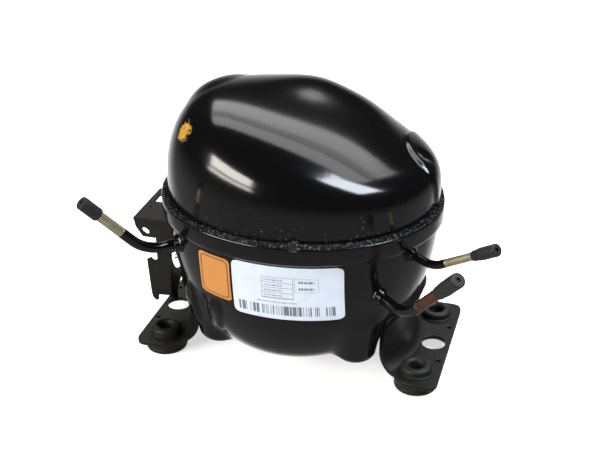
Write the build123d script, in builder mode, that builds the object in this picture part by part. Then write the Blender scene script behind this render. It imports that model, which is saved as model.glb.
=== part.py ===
from build123d import *
from math import asin, cos, degrees, radians, sin, sqrt
import os

os.makedirs("parts", exist_ok=True)

# Housing: two drawn steel shells that meet at a rim
shell_wall = 3.0
lower_half_x, lower_half_y = 87.8, 75.6
lower_top, lower_depth = 99.0, 87.0
bowl_fall, bowl_bow_x, bowl_bow_y = 1.7, 4.2, 6.2
bowl_depths = (0.0, 0.16, 0.33, 0.5, 0.65, 0.78, 0.88, 0.95, 0.985)
upper_half_x, upper_half_y = 86.6, 74.8
dome_foot, dome_height = 118.0, 53.0
dome_fall, dome_bow, dome_lean, dome_shift = 2.7, 2.45, 12.3, -4.0
dome_rises = (0.0, 0.17, 0.33, 0.48, 0.62, 0.745, 0.85, 0.93, 0.98)
rim_wall, rim_height, rim_taper = 4.4, 11.0, 3.0
shell_fit = 0.3                 # upper shell inside the rim, each side
ledge_height = 1.5              # rim floor above the top of the bowl
bead_height, bead_width = 2.2, 4.0

# Feet: two sheet brackets on four rubber grommets
mount_span_x, mount_span_y = 170.0, 70.0
grommet_radius, grommet_neck, grommet_crown, grommet_bore = 13.9, 8.8, 10.0, 4.6
grommet_foot, grommet_top, neck_gap, crown_round, sole_round = 7.6, 16.6, 0.2, 2.4, 1.2
foot_sheet = 3.0
foot_reach, foot_half_width, foot_waist, foot_root = 100.6, 51.8, 38.0, 40.0
foot_tab, foot_shoulder, foot_corner = 13.0, 70.0, 8.0
flange_half_x, flange_half_y = 77.0, 74.0
flange_rise, flange_drop, flange_centre, flange_half = 43.0, 15.0, 18.0, 50.0
relief_radius, relief_reach = 7.9, 89.7
tooling_radius, tooling_reach, tooling_side = 1.4, 96.6, 20.5

# Suspension: four springs in pockets of the lower shell
pocket_x, pocket_y, pocket_radius, pocket_floor, pocket_top = 45.3, 36.0, 13.0, 20.0, 46.0
pocket_round = 5.0
spring_radius, spring_wire, spring_turns, spring_play = 7.2, 0.9, 5, 0.1
seat_flange, seat_sheet, seat_pin, lower_pin_height, upper_pin_height = 7.8, 1.5, 5.9, 6.5, 7.0

# Motor
stator_x, stator_y, stator_corner = 104.0, 92.0, 10.0
stator_bottom, stator_height = 42.0, 42.0
stator_bore, slot_count, slot_inner, slot_outer, slot_width = 29.0, 24, 31.0, 42.5, 4.0
air_gap, coil_height, coil_gap, coil_round, coil_inner = 0.5, 12.0, 0.3, 3.5, 30.5
end_ring_inner, end_ring_height = 20.0, 3.0
bolt_radius, bolt_head, bolt_head_height, bolt_play = 3.0, 5.0, 4.0, 0.1

# Crank drive: the cylinder lies along -X and the crankshaft stands on Z
shaft_radius, shaft_play, piston_play, pin_play = 8.0, 0.03, 0.03, 0.03
crank_throw, rod_length, crank_angle = 8.0, 31.0, 120.0
open_pivot_play = 0.35          # the loop is opened between crankpin and rod
wrist_shift, rod_turn = 0.09, -0.389     # keep the open pivot centred over the swing
crankpin_radius, web_radius, web_height, web_play = 7.0, 16.0, 4.7, 0.3
cylinder_level, piston_radius, piston_crown, piston_skirt = 128.0, 11.0, 8.0, 12.0
piston_wall, crown_wall, wrist_radius, wrist_gap = 2.5, 2.0, 3.5, 0.8
rod_width, rod_thick, rod_end_thick, small_end_wall, big_end_wall = 7.0, 6.0, 10.0, 1.9, 4.2
shaft_bottom, pickup_radius, pickup_length = 40.0, 4.0, 21.0
deck_bottom, deck_height, leg_radius = 98.0, 8.0, 6.0
hub_radius, hub_bottom, hub_top, hub_well = 13.2, 66.0, 111.0, 1.3
block_half, block_end, block_face = 19.0, 20.5, 47.2
gasket_sheet, reed_sheet, plate_sheet, head_depth, port_radius = 0.8, 0.3, 3.0, 13.0, 2.6
reed_width, reed_root, reed_tip, reed_gap, port_gap = 7.0, 9.5, -7.0, 0.05, 1.5
discharge_side, discharge_rise = 4.5, 1.0
head_bolt_radius, head_bolt_half, head_bolt_play, head_bolt_depth = 2.4, 14.5, 0.1, 14.0
head_round, head_wall, rib_width, rib_room, hex_radius, hex_height = 4.0, 4.0, 2.0, 2.5, 4.2, 4.0

# Mufflers on the deck, and the line to the discharge tube
muffler_wall, line_radius, line_bend, line_lead = 1.6, 1.6, 6.0, 12.0
suction_box = dict(place=(-34.0, -35.0), length=32.0, width=22.0, height=30.0, corner=5.0, edge=3.0)
intake_radius, intake_drop, intake_length = 4.0, 8.0, 9.0
link_place, link_length, link_width, link_height = (-54.0, -28.0), 16.0, 7.0, 8.0
discharge_pot = dict(place=(-34.0, 33.0), radius=11.0, height=26.0, edge=5.0)

# Stub tubes: place on the wall, heading, size, then the bend and the straight end
tubes = {
    "suction_tube": dict(around=220.5, height=87.2, heading=221.3, radius=3.25, wall=0.7, reach=21.5,
                         droop=0.5, rise=48.0, bend=26.0, bare=41.4, cap=14.2, cap_radius=4.3),
    "discharge_tube": dict(around=-27.2, height=93.5, heading=-31.5, radius=2.5, wall=0.6, reach=18.5,
                           droop=1.0, rise=33.0, bend=22.0, bare=35.2, cap=18.7, cap_radius=3.8),
    "process_tube": dict(around=-41.2, height=69.2, heading=-38.2, radius=3.35, wall=0.7, reach=22.8,
                         droop=2.2, rise=46.3, bend=26.0, bare=40.8, cap=21.0, cap_radius=4.6),
}
tube_tail = 10.0                # length of a stub inside its shell
cap_floor, cap_play, cap_seat = 3.0, 0.05, 0.3
collar_wall, collar_half, collar_play, collar_round = 2.8, 4.0, 0.05, 1.8

# Terminal side
terminal_level, terminal_radius, terminal_depth, terminal_flange, terminal_gap = 58.0, 15.0, 8.0, 17.5, 2.5
terminal_sheet, terminal_play, pin_radius, pin_circle, pin_length = 2.0, 0.1, 1.6, 7.0, 10.0
plug_size, plug_depth, wire_radius, wire_spread, wire_level = 22.0, 10.0, 1.2, 5.0, 90.0
plug_gap, wire_drop, wire_bend = 0.2, 1.6, 6.0
fence_reach, fence_half, fence_top, fence_sheet, fence_back = 108.8, 22.8, 86.6, 1.5, 86.5
fence_window, fence_root, fence_brow, fence_notch = 18.0, 70.0, 62.0, 4.0

# Labels
label_sheet, label_gap, label_round = 0.3, 0.15, 4.0
rating_label = dict(left=-22.8, right=44.6, bottom=57.5, top=95.8)
side_label = dict(left=-47.0, right=-24.4, bottom=63.6, top=94.0)

corners = {"front_left": (-1, -1), "front_right": (1, -1), "rear_left": (-1, 1), "rear_right": (1, 1)}
pocket_points = [(sx * pocket_x, sy * pocket_y) for sx, sy in corners.values()]

stator_top = stator_bottom + stator_height
rim_top = lower_top + rim_height
pocket_seat = pocket_floor + shell_wall
spring_bottom, spring_top = pocket_seat + seat_sheet, stator_bottom - seat_sheet
deck_top = deck_bottom + deck_height
crankpin = (crank_throw * cos(radians(crank_angle)), crank_throw * sin(radians(crank_angle)))
rod_angle = degrees(asin(crankpin[1] / rod_length)) + rod_turn
wrist_x = crankpin[0] - sqrt(rod_length ** 2 - crankpin[1] ** 2) + wrist_shift
rod_plane = Plane((wrist_x, 0, cylinder_level), x_dir=(cos(radians(rod_angle)), sin(radians(rod_angle)), 0),
                  z_dir=(0, 0, 1))
plate_back = block_face + gasket_sheet + plate_sheet          # valve plate's outer face, as a distance
head_back = plate_back + gasket_sheet + head_depth


def save(piece, label):
    piece.part.label = label
    export_step(piece.part, f"parts/{label}.step")


def bowl_half(height, grow=0.0):
    depth = max(0.0, (lower_top - height) / (lower_depth + grow))
    fall = 1 - depth ** bowl_fall
    return (lower_half_x + grow) * fall ** (1 / bowl_bow_x), (lower_half_y + grow) * fall ** (1 / bowl_bow_y)


def bowl(grow=0.0, mode=Mode.ADD):
    # the lower shell's surface, moved outwards by grow
    rings = []
    for depth in bowl_depths:
        height = lower_top - (lower_depth + grow) * depth
        with BuildSketch(Plane.XY.offset(height)) as ring:
            Ellipse(*bowl_half(height, grow))
        rings.append(ring.sketch.face())
    loft(rings, mode=mode)


def dome(grow=0.0, mode=Mode.ADD):
    # the upper shell's surface, whose crown leans down towards +X
    rings = []
    for rise in dome_rises:
        fall = (1 - rise ** dome_fall) ** (1 / dome_bow)
        lean = radians(dome_lean * min(1.0, 1.45 * rise ** 1.6))
        level = Plane((dome_shift * rise ** 5, 0, dome_foot + (dome_height + grow) * rise),
                      x_dir=(cos(lean), 0, -sin(lean)), z_dir=(sin(lean), 0, cos(lean)))
        with BuildSketch(level) as ring:
            Ellipse((upper_half_x + grow) * fall, (upper_half_y + grow) * fall)
        rings.append(ring.sketch.face())
    loft(rings, mode=mode)


def make_cup(grow=0.0):
    # one spring pocket, moved outwards by grow
    radius, floor = pocket_radius + grow, pocket_floor - grow
    with BuildPart() as cup:
        with BuildSketch(Plane.XY.offset(floor)):
            Circle(radius)
        extrude(amount=pocket_top - floor)
        fillet(cup.faces().sort_by(Axis.Z)[0].edges(), pocket_round + grow)
    return cup.part


def tube_axes(size):
    # exit point on the wall, level outward direction, corner of the bend and end direction
    half_x, half_y = bowl_half(size["height"])
    around, heading, rise = radians(size["around"]), radians(size["heading"]), radians(size["rise"])
    level = Vector(cos(heading), sin(heading), 0)
    exit_point = Vector(half_x * cos(around), half_y * sin(around), size["height"])
    corner = exit_point + level * size["reach"] - Vector(0, 0, size["droop"])
    rising = level * cos(rise) + Vector(0, 0, sin(rise))
    return exit_point, (corner - exit_point).normalized(), corner, rising


def make_lower_shell():
    cup, hollow = make_cup(), make_cup(-shell_wall)
    with BuildPart() as shell:
        bowl()
        with BuildSketch(Plane.XY.offset(lower_top - rim_taper)):
            Ellipse(*bowl_half(lower_top - rim_taper))
        with BuildSketch(Plane.XY.offset(lower_top)):
            Ellipse(upper_half_x + rim_wall, upper_half_y + rim_wall)
        loft()
        with BuildSketch(Plane.XY.offset(lower_top)):
            Ellipse(upper_half_x + rim_wall, upper_half_y + rim_wall)
        extrude(amount=rim_height)
        with Locations(*pocket_points):
            add(cup)
        bowl(-shell_wall, Mode.SUBTRACT)
        with Locations(*pocket_points):
            add(hollow, mode=Mode.SUBTRACT)
        with BuildSketch(Plane.XY.offset(lower_top)):
            Ellipse(*bowl_half(lower_top, -shell_wall))
        extrude(amount=ledge_height, mode=Mode.SUBTRACT)
        with BuildSketch(Plane.XY.offset(lower_top + ledge_height)):
            Ellipse(upper_half_x + shell_fit, upper_half_y + shell_fit)
        extrude(amount=rim_height, mode=Mode.SUBTRACT)
        for size in tubes.values():
            exit_point, out, _, _ = tube_axes(size)
            with BuildSketch(Plane(exit_point - out * 3 * collar_half, z_dir=out)):
                Circle(size["radius"] + collar_wall + collar_play)
            extrude(amount=6 * collar_half, mode=Mode.SUBTRACT)
        with BuildSketch(terminal_plane().offset(-3 * terminal_depth)):
            Circle(terminal_radius + terminal_play)
        extrude(amount=6 * terminal_depth, mode=Mode.SUBTRACT)
    save(shell, "lower_shell")
    return shell.part


def make_upper_shell():
    foot = lower_top + ledge_height
    with BuildPart() as shell:
        with BuildSketch(Plane.XY.offset(foot)):
            Ellipse(upper_half_x, upper_half_y)
        extrude(amount=dome_foot - foot)
        dome()
        with BuildSketch(Plane.XY.offset(foot)):
            Ellipse(upper_half_x - shell_wall, upper_half_y - shell_wall)
        extrude(amount=dome_foot - foot, mode=Mode.SUBTRACT)
        dome(-shell_wall, Mode.SUBTRACT)
    save(shell, "upper_shell")


def make_seam_weld():
    with BuildPart() as bead:
        with BuildSketch(Plane.XY.offset(rim_top)):
            Ellipse(upper_half_x + bead_width, upper_half_y + bead_width)
            Ellipse(upper_half_x, upper_half_y, mode=Mode.SUBTRACT)
        extrude(amount=bead_height)
        chamfer(bead.faces().sort_by(Axis.Z)[-1].outer_wire().edges(), bead_height * 0.7)
    save(bead, "seam_weld")


def make_flange(side):
    # the leaf that stands up from a foot against the shell
    with BuildPart() as flange:
        with BuildSketch(Plane.XY.offset(grommet_foot)):
            Ellipse(flange_half_x, flange_half_y)
            Ellipse(flange_half_x - foot_sheet, flange_half_y - foot_sheet, mode=Mode.SUBTRACT)
        extrude(amount=flange_centre + flange_rise)
        with BuildSketch(Plane.YZ):
            with BuildLine():
                EllipticalCenterArc((0, flange_centre), flange_half, flange_rise, 0, arc_size=180)
                EllipticalCenterArc((0, flange_centre), flange_half, flange_drop, 180, arc_size=180)
            make_face()
        extrude(amount=side * foot_reach, mode=Mode.INTERSECT)
    return flange.part


def make_base_bracket(label, side, shell):
    flange = make_flange(side)
    tab = side * (foot_reach - foot_tab)
    with BuildPart() as bracket:
        with BuildSketch(Plane.XY.offset(grommet_foot)) as outline:
            Polygon((side * foot_reach, -foot_half_width), (tab, -foot_half_width),
                    (side * foot_shoulder, -foot_waist), (side * foot_root, -foot_waist),
                    (side * foot_root, foot_waist), (side * foot_shoulder, foot_waist),
                    (tab, foot_half_width), (side * foot_reach, foot_half_width), align=None)
            fillet(outline.vertices().group_by(Axis.X)[-1 if side > 0 else 0], foot_corner)
        extrude(amount=foot_sheet)
        with BuildSketch(Plane.XY.offset(grommet_foot)):
            Ellipse(flange_half_x - foot_sheet, flange_half_y - foot_sheet)
        extrude(amount=foot_sheet, mode=Mode.SUBTRACT)
        add(flange)
        with Locations(*[(side * mount_span_x / 2, sy * mount_span_y / 2, grommet_foot) for sy in (-1, 1)]):
            Cylinder(grommet_neck + neck_gap, 3 * foot_sheet, mode=Mode.SUBTRACT)
        with Locations((side * relief_reach, 0, grommet_foot)):
            Cylinder(relief_radius, 3 * foot_sheet, mode=Mode.SUBTRACT)
        with Locations(*[(side * tooling_reach, sy * tooling_side, grommet_foot) for sy in (-1, 1)]):
            Cylinder(tooling_radius, 3 * foot_sheet, mode=Mode.SUBTRACT)
        if side < 0:
            with BuildSketch(terminal_plane().offset(-2 * terminal_depth)):
                Circle(terminal_flange + terminal_gap)
            extrude(amount=6 * terminal_depth, mode=Mode.SUBTRACT)
        add(shell, mode=Mode.SUBTRACT)
    save(bracket, label)


def make_grommet(label, place):
    plate_top = grommet_foot + foot_sheet
    with BuildPart() as grommet:
        with BuildSketch(Plane.XZ):
            with BuildLine():
                Polyline((grommet_bore, 0), (grommet_radius, 0), (grommet_radius, grommet_foot),
                         (grommet_neck, grommet_foot), (grommet_neck, plate_top), (grommet_crown, plate_top),
                         (grommet_crown, grommet_top), (grommet_bore, grommet_top), close=True)
            make_face()
        revolve(axis=Axis.Z)
        fillet(grommet.faces().sort_by(Axis.Z)[-1].outer_wire().edges(), crown_round)
        fillet(grommet.faces().sort_by(Axis.Z)[0].outer_wire().edges(), sole_round)
    with BuildPart() as placed:
        with Locations(place):
            add(grommet.part)
    save(placed, label)


def terminal_plane():
    # on the -X end of the wall, square to it
    above, below = bowl_half(terminal_level + 1)[0], bowl_half(terminal_level - 1)[0]
    normal = Vector(-2, 0, -(above - below))
    return Plane((-bowl_half(terminal_level)[0], 0, terminal_level), x_dir=(0, 1, 0), z_dir=normal)


def make_terminal():
    wall = terminal_plane()
    pins = PolarLocations(pin_circle, 3, start_angle=90)
    with BuildPart() as terminal:
        with BuildSketch(wall.offset(-terminal_depth)):
            Circle(terminal_radius)
        extrude(amount=terminal_depth + terminal_sheet)
        with BuildSketch(wall.offset(-terminal_depth)):
            Circle(terminal_radius - terminal_sheet)
        extrude(amount=terminal_depth, mode=Mode.SUBTRACT)
        with BuildSketch(wall.offset(-terminal_depth - pin_length)):
            with pins:
                Circle(pin_radius)
        extrude(amount=terminal_depth + terminal_sheet + 2 * pin_length)
    save(terminal, "hermetic_terminal")
    with BuildPart() as plug:
        with BuildSketch(wall.offset(-terminal_depth - plug_gap - plug_depth)):
            RectangleRounded(plug_size, plug_size, 3)
        extrude(amount=plug_depth)
        with BuildSketch(wall.offset(-terminal_depth - 2 * pin_length)):
            with pins:
                Circle(pin_radius + 0.05)
        extrude(amount=2 * pin_length, mode=Mode.SUBTRACT)
    save(plug, "cluster_plug")
    back = wall.offset(-terminal_depth - plug_gap - plug_depth / 2).origin
    start = back + Vector(0, 0, plug_size / 2 + wire_drop)
    with BuildPart() as wires:
        for spread in (-wire_spread, 0, wire_spread):
            foot = Vector(start.X, spread, start.Z)
            turn = Vector(start.X, spread, wire_level)
            coil_edge = sqrt(slot_outer ** 2 - spread ** 2) + coil_gap
            with BuildLine() as route:
                FilletPolyline(foot, turn, Vector(-coil_edge - 0.5, spread, wire_level), radius=wire_bend)
            with BuildSketch(Plane(foot, z_dir=(0, 0, 1))):
                Circle(wire_radius)
            sweep(path=route.wires()[0])
    save(wires, "lead_wires")


def make_fence(shell):
    # cover bracket: a shelf, two cheeks and a web with a window for the terminal
    web, brow = -fence_back + fence_sheet, (-fence_root, fence_brow + 10)
    lip = [(-fence_reach, fence_top), (-fence_reach + 1.3, 80)]
    with BuildPart() as fence:
        with BuildSketch(Plane.XY.offset(fence_top - fence_sheet)):
            Polygon((-fence_reach, -fence_half), (-fence_reach, fence_half),
                    (-fence_reach + fence_notch, fence_half), (-fence_reach + fence_notch, 3),
                    (-fence_root, 3), (-fence_root, -fence_half), align=None)
            with Locations((-fence_reach + 5.3, -5.4)):
                Circle(1, mode=Mode.SUBTRACT)
        extrude(amount=fence_sheet)
        with BuildSketch(Plane.XZ.offset(fence_half - fence_sheet)):
            with BuildLine():
                Polyline(*lip, (-102.8, 73.2), (-93.7, 73.2), (-93.7, 58.5), (-98.1, 57.9), (-101.1, 56.3),
                         (-99.4, 31), (-98.6, 27.5), (-96.5, 25.3), (-94.8, 26), (-94.8, 30), (-87.7, 30.6),
                         (web, 30.6), (web, fence_brow), brow, (-fence_root, fence_top), close=True)
            make_face()
            with Locations((-100.6, 77.6)):
                SlotOverall(5.4, 3.8, rotation=-35, mode=Mode.SUBTRACT)
            with Locations((-95.9, 58.5)):
                Circle(2.4, mode=Mode.SUBTRACT)
        extrude(amount=fence_sheet)
        with BuildSketch(Plane.XZ.offset(-fence_half)):
            with BuildLine():
                Polyline(*lip, (-98, 66), (-98, 32), (web, 28), (web, fence_brow), brow,
                         (-fence_root, fence_top), close=True)
            make_face()
        extrude(amount=fence_sheet)
        with BuildSketch(Plane.YZ.offset(-fence_back)):
            with BuildLine():
                Polyline((-fence_half, fence_top), (-fence_half, 30), (-16, 22), (-12, 22), (-12, 30),
                         (-5, 35), (5, 35), (12, 30), (12, 22), (16, 22), (fence_half, 30),
                         (fence_half, fence_top), close=True)
            make_face()
            with Locations((0, terminal_level + 2)):
                Circle(fence_window, mode=Mode.SUBTRACT)
        extrude(amount=fence_sheet)
        bowl(0.0, Mode.SUBTRACT)
        add(shell, mode=Mode.SUBTRACT)
    save(fence, "terminal_fence")


def make_tube(label, size):
    exit_point, out, corner, rising = tube_axes(size)
    tube_end = size["bare"] + size["cap"] - cap_floor - cap_seat
    start = exit_point - out * tube_tail
    with BuildPart() as tube:
        with BuildLine() as route:
            FilletPolyline(start, corner, corner + rising * tube_end, radius=size["bend"])
        with BuildSketch(Plane(start, z_dir=out)):
            Circle(size["radius"])
            Circle(size["radius"] - size["wall"], mode=Mode.SUBTRACT)
        sweep(path=route.wires()[0])
    save(tube, label)
    with BuildPart() as collar:
        with BuildSketch(Plane(exit_point - out * collar_half, z_dir=out)):
            Circle(size["radius"] + collar_wall)
        extrude(amount=2 * collar_half)
        fillet(collar.faces().sort_by(Axis(exit_point, out))[-1].edges(), collar_round)
        with BuildSketch(Plane(exit_point - out * 2 * collar_half, z_dir=out)):
            Circle(size["radius"] + 0.02)
        extrude(amount=4 * collar_half, mode=Mode.SUBTRACT)
    save(collar, f"{label}_collar")
    mouth = Plane(corner + rising * size["bare"], z_dir=rising)
    with BuildPart() as cap:
        with BuildSketch(mouth):
            Circle(size["cap_radius"])
        extrude(amount=size["cap"])
        fillet(cap.faces().sort_by(Axis(mouth.origin, rising))[-1].edges(), 0.8)
        with BuildSketch(mouth):
            Circle(size["radius"] + cap_play)
        extrude(amount=size["cap"] - cap_floor, mode=Mode.SUBTRACT)
    save(cap, f"{label}_cap")
    bore = size["radius"] - size["wall"]
    tip = corner + rising * tube_end
    print(label, "tip", [round(v, 3) for v in tip], "along", [round(v, 5) for v in rising], "bore", bore)


def make_label(label, size):
    width, height = size["right"] - size["left"], size["top"] - size["bottom"]
    middle = ((size["right"] + size["left"]) / 2, (size["top"] + size["bottom"]) / 2)
    with BuildPart() as sticker:
        with BuildSketch(Plane.XZ.offset(30)):
            with Locations(middle):
                RectangleRounded(width, height, label_round)
        extrude(amount=lower_half_y)
        bowl(label_gap + label_sheet, Mode.INTERSECT)
        bowl(label_gap, Mode.SUBTRACT)
    save(sticker, label)


def make_spring_set(label, place):
    base = (place[0], place[1], pocket_seat)
    with BuildPart() as lower:
        with Locations(base):
            Cylinder(seat_flange, seat_sheet, align=(Align.CENTER, Align.CENTER, Align.MIN))
            Cylinder(seat_pin, seat_sheet + lower_pin_height, align=(Align.CENTER, Align.CENTER, Align.MIN))
        chamfer(lower.faces().sort_by(Axis.Z)[-1].edges(), 1.2)
    save(lower, f"{label}_lower_spring_seat")
    with BuildPart() as upper:
        with Locations((place[0], place[1], stator_bottom)):
            Cylinder(seat_flange, seat_sheet, align=(Align.CENTER, Align.CENTER, Align.MAX))
            Cylinder(seat_pin, seat_sheet + upper_pin_height, align=(Align.CENTER, Align.CENTER, Align.MAX))
            Cylinder(bolt_head + bolt_play, bolt_head_height + bolt_play,
                     align=(Align.CENTER, Align.CENTER, Align.MAX), mode=Mode.SUBTRACT)
        chamfer(upper.faces().sort_by(Axis.Z)[0].edges(), 1.2)
    save(upper, f"{label}_upper_spring_seat")
    rise = spring_top - spring_bottom - 2 * (spring_wire + spring_play)
    with BuildPart() as spring:
        with BuildLine() as coil:
            Helix(pitch=rise / spring_turns, height=rise, radius=spring_radius,
                  center=(place[0], place[1], spring_bottom + spring_wire + spring_play))
        with BuildSketch(Plane(coil.edges()[0] @ 0, z_dir=coil.edges()[0] % 0)):
            Circle(spring_wire)
        sweep(path=coil.wires()[0])
    save(spring, f"{label}_spring")


def make_motor():
    slots = PolarLocations(0, slot_count)
    slot_length = slot_outer - slot_inner
    with BuildPart() as stack:
        with BuildSketch(Plane.XY.offset(stator_bottom)) as sheet:
            Rectangle(stator_x, stator_y)
            chamfer(sheet.vertices(), stator_corner)
            Circle(stator_bore, mode=Mode.SUBTRACT)
            with slots:
                with Locations(((slot_inner + slot_outer) / 2, 0)):
                    Rectangle(slot_length + 2 * coil_gap, slot_width, mode=Mode.SUBTRACT)
                with Locations((slot_inner - 1, 0)):
                    Rectangle(4, slot_width * 0.4, mode=Mode.SUBTRACT)
            with Locations(*pocket_points):
                Circle(bolt_radius + bolt_play, mode=Mode.SUBTRACT)
        extrude(amount=stator_height)
    save(stack, "stator_stack")
    with BuildPart() as winding:
        for foot in (stator_bottom - coil_height, stator_top):
            with BuildSketch(Plane.XY.offset(foot)):
                Circle(slot_outer)
                Circle(coil_inner, mode=Mode.SUBTRACT)
            extrude(amount=coil_height)
        low, high = winding.faces().sort_by(Axis.Z)[0], winding.faces().sort_by(Axis.Z)[-1]
        fillet(low.edges() + high.edges(), coil_round)
        with BuildSketch(Plane.XY.offset(stator_bottom)):
            with slots:
                with Locations(((slot_inner + slot_outer) / 2, 0)):
                    Rectangle(slot_length - coil_gap, slot_width - 2 * coil_gap)
        extrude(amount=stator_height)
    save(winding, "stator_winding")
    with BuildPart() as bolts:
        with Locations(*[(x, y, stator_bottom) for x, y in pocket_points]):
            Cylinder(bolt_radius, stator_height + deck_bottom - stator_top + deck_height - 2,
                     align=(Align.CENTER, Align.CENTER, Align.MIN))
            Cylinder(bolt_head, bolt_head_height, align=(Align.CENTER, Align.CENTER, Align.MAX))
    save(bolts, "stator_bolts")
    rotor_radius = stator_bore - air_gap
    with BuildPart() as core:
        with BuildSketch(Plane.XY.offset(stator_bottom)):
            Circle(rotor_radius)
            Circle(shaft_radius, mode=Mode.SUBTRACT)
        extrude(amount=stator_height)
        with BuildSketch(Plane.XY.offset(hub_bottom - 2 * hub_well)):
            Circle(hub_radius + hub_well)
        extrude(amount=stator_height, mode=Mode.SUBTRACT)
    save(core, "rotor_core")
    with BuildPart() as rings:
        for foot in (stator_bottom - end_ring_height, stator_top):
            with BuildSketch(Plane.XY.offset(foot)):
                Circle(rotor_radius - 0.5)
                Circle(end_ring_inner, mode=Mode.SUBTRACT)
            extrude(amount=end_ring_height)
    save(rings, "rotor_end_rings")


def make_crankshaft():
    web_bottom = hub_top + web_play
    with BuildPart() as shaft:
        with BuildSketch(Plane.XY.offset(shaft_bottom)):
            Circle(shaft_radius)
        extrude(amount=web_bottom - shaft_bottom)
        with BuildSketch(Plane.XY.offset(web_bottom)):
            with Locations((-crankpin[0] * 0.25, -crankpin[1] * 0.25)):
                Circle(web_radius - crank_throw * 0.25)
        extrude(amount=web_height)
        with BuildSketch(Plane.XY.offset(web_bottom)):
            with Locations(crankpin):
                Circle(crankpin_radius)
        extrude(amount=cylinder_level + rod_end_thick / 2 + 2 - web_bottom)
        with BuildSketch(Plane.XY.offset(shaft_bottom)):
            Circle(pickup_radius)
        extrude(amount=pickup_radius, mode=Mode.SUBTRACT)
    save(shaft, "crankshaft")
    with BuildPart() as pickup:
        with BuildSketch(Plane.XY.offset(shaft_bottom + pickup_radius)):
            Circle(pickup_radius)
        with BuildSketch(Plane.XY.offset(shaft_bottom)):
            Circle(pickup_radius)
        loft()
        with BuildSketch(Plane.XY.offset(shaft_bottom)):
            Circle(pickup_radius)
        with BuildSketch(Plane.XY.offset(shaft_bottom - pickup_length)):
            Circle(pickup_radius * 0.6)
        loft()
        with Locations((0, 0, shaft_bottom - pickup_length)):
            Cylinder(pickup_radius * 0.3, 2 * pickup_length, mode=Mode.SUBTRACT)
    save(pickup, "oil_pickup")


def make_piston_group():
    crown = wrist_x - piston_crown
    with BuildPart() as piston:
        with BuildSketch(Plane((crown, 0, cylinder_level), z_dir=(1, 0, 0))):
            Circle(piston_radius)
        extrude(amount=piston_crown + piston_skirt)
        with BuildSketch(Plane((crown + crown_wall, 0, cylinder_level), z_dir=(1, 0, 0))):
            Circle(piston_radius - piston_wall)
        extrude(amount=piston_crown + piston_skirt, mode=Mode.SUBTRACT)
        with Locations((wrist_x, 0, cylinder_level)):
            Cylinder(wrist_radius, 4 * piston_radius, mode=Mode.SUBTRACT)
    save(piston, "piston")
    with BuildPart() as wrist:
        with Locations((wrist_x, 0, cylinder_level)):
            Cylinder(wrist_radius, 2 * (piston_radius - wrist_gap))
    save(wrist, "wrist_pin")
    small_end, big_end = wrist_radius + pin_play, crankpin_radius + open_pivot_play
    with BuildPart() as rod:
        with BuildSketch(rod_plane.offset(-rod_end_thick / 2)):
            Circle(small_end + small_end_wall)
            with Locations((rod_length, 0)):
                Circle(big_end + big_end_wall)
        extrude(amount=rod_end_thick)
        with BuildSketch(rod_plane.offset(-rod_thick / 2)):
            with Locations((rod_length / 2, 0)):
                Rectangle(rod_length, rod_width)
        extrude(amount=rod_thick)
        with BuildSketch(rod_plane.offset(-rod_end_thick)):
            Circle(small_end)
            with Locations((rod_length, 0)):
                Circle(big_end)
        extrude(amount=2 * rod_end_thick, mode=Mode.SUBTRACT)
    save(rod, "connecting_rod")


def make_cylinder_block():
    bolt_points = [(sy * head_bolt_half, sz * head_bolt_half) for sy in (-1, 1) for sz in (-1, 1)]
    face = Plane((-block_face, 0, cylinder_level), x_dir=(0, 1, 0), z_dir=(-1, 0, 0))
    with BuildPart() as block:
        with BuildSketch(Plane.XY.offset(deck_bottom)) as deck:
            Rectangle(stator_x, stator_y)
            chamfer(deck.vertices(), stator_corner)
        extrude(amount=deck_height)
        with BuildSketch(Plane.XY.offset(stator_top)):
            with Locations(*pocket_points):
                Circle(leg_radius)
        extrude(amount=deck_bottom - stator_top)
        with BuildSketch(Plane.XY.offset(hub_bottom)):
            Circle(hub_radius)
        extrude(amount=hub_top - hub_bottom)
        with BuildSketch(face.offset(block_end - block_face)):
            Rectangle(2 * block_half, 2 * block_half)
        extrude(amount=block_face - block_end)
        with BuildSketch(Plane.XY.offset(deck_bottom)):
            with Locations(((-block_face - block_end) / 2, 0)):
                Rectangle(block_face - block_end, 2 * block_half)
        extrude(amount=cylinder_level - deck_bottom)
        with BuildSketch(Plane.XY.offset(hub_bottom)):
            Circle(shaft_radius + shaft_play)
        extrude(amount=hub_top, mode=Mode.SUBTRACT)
        with BuildSketch(face):
            Circle(piston_radius + piston_play)
        extrude(amount=-2 * block_face, mode=Mode.SUBTRACT)
        with BuildSketch(face):
            with Locations(*bolt_points):
                Circle(head_bolt_radius + head_bolt_play)
        extrude(amount=-head_bolt_depth - 1, mode=Mode.SUBTRACT)
        with BuildSketch(Plane.XY.offset(stator_top)):
            with Locations(*pocket_points):
                Circle(bolt_radius + bolt_play)
        extrude(amount=deck_bottom - stator_top + deck_height - 1, mode=Mode.SUBTRACT)
    save(block, "cylinder_block")
    make_valve_stack(face, bolt_points)


def make_sheet(label, plane, thickness, holes, bolt_points):
    with BuildPart() as sheet:
        with BuildSketch(plane):
            Rectangle(2 * block_half, 2 * block_half)
            with Locations(*bolt_points):
                Circle(head_bolt_radius + head_bolt_play, mode=Mode.SUBTRACT)
            for place, radius in holes:
                with Locations(place):
                    Circle(radius, mode=Mode.SUBTRACT)
        extrude(amount=thickness)
    save(sheet, label)


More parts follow.
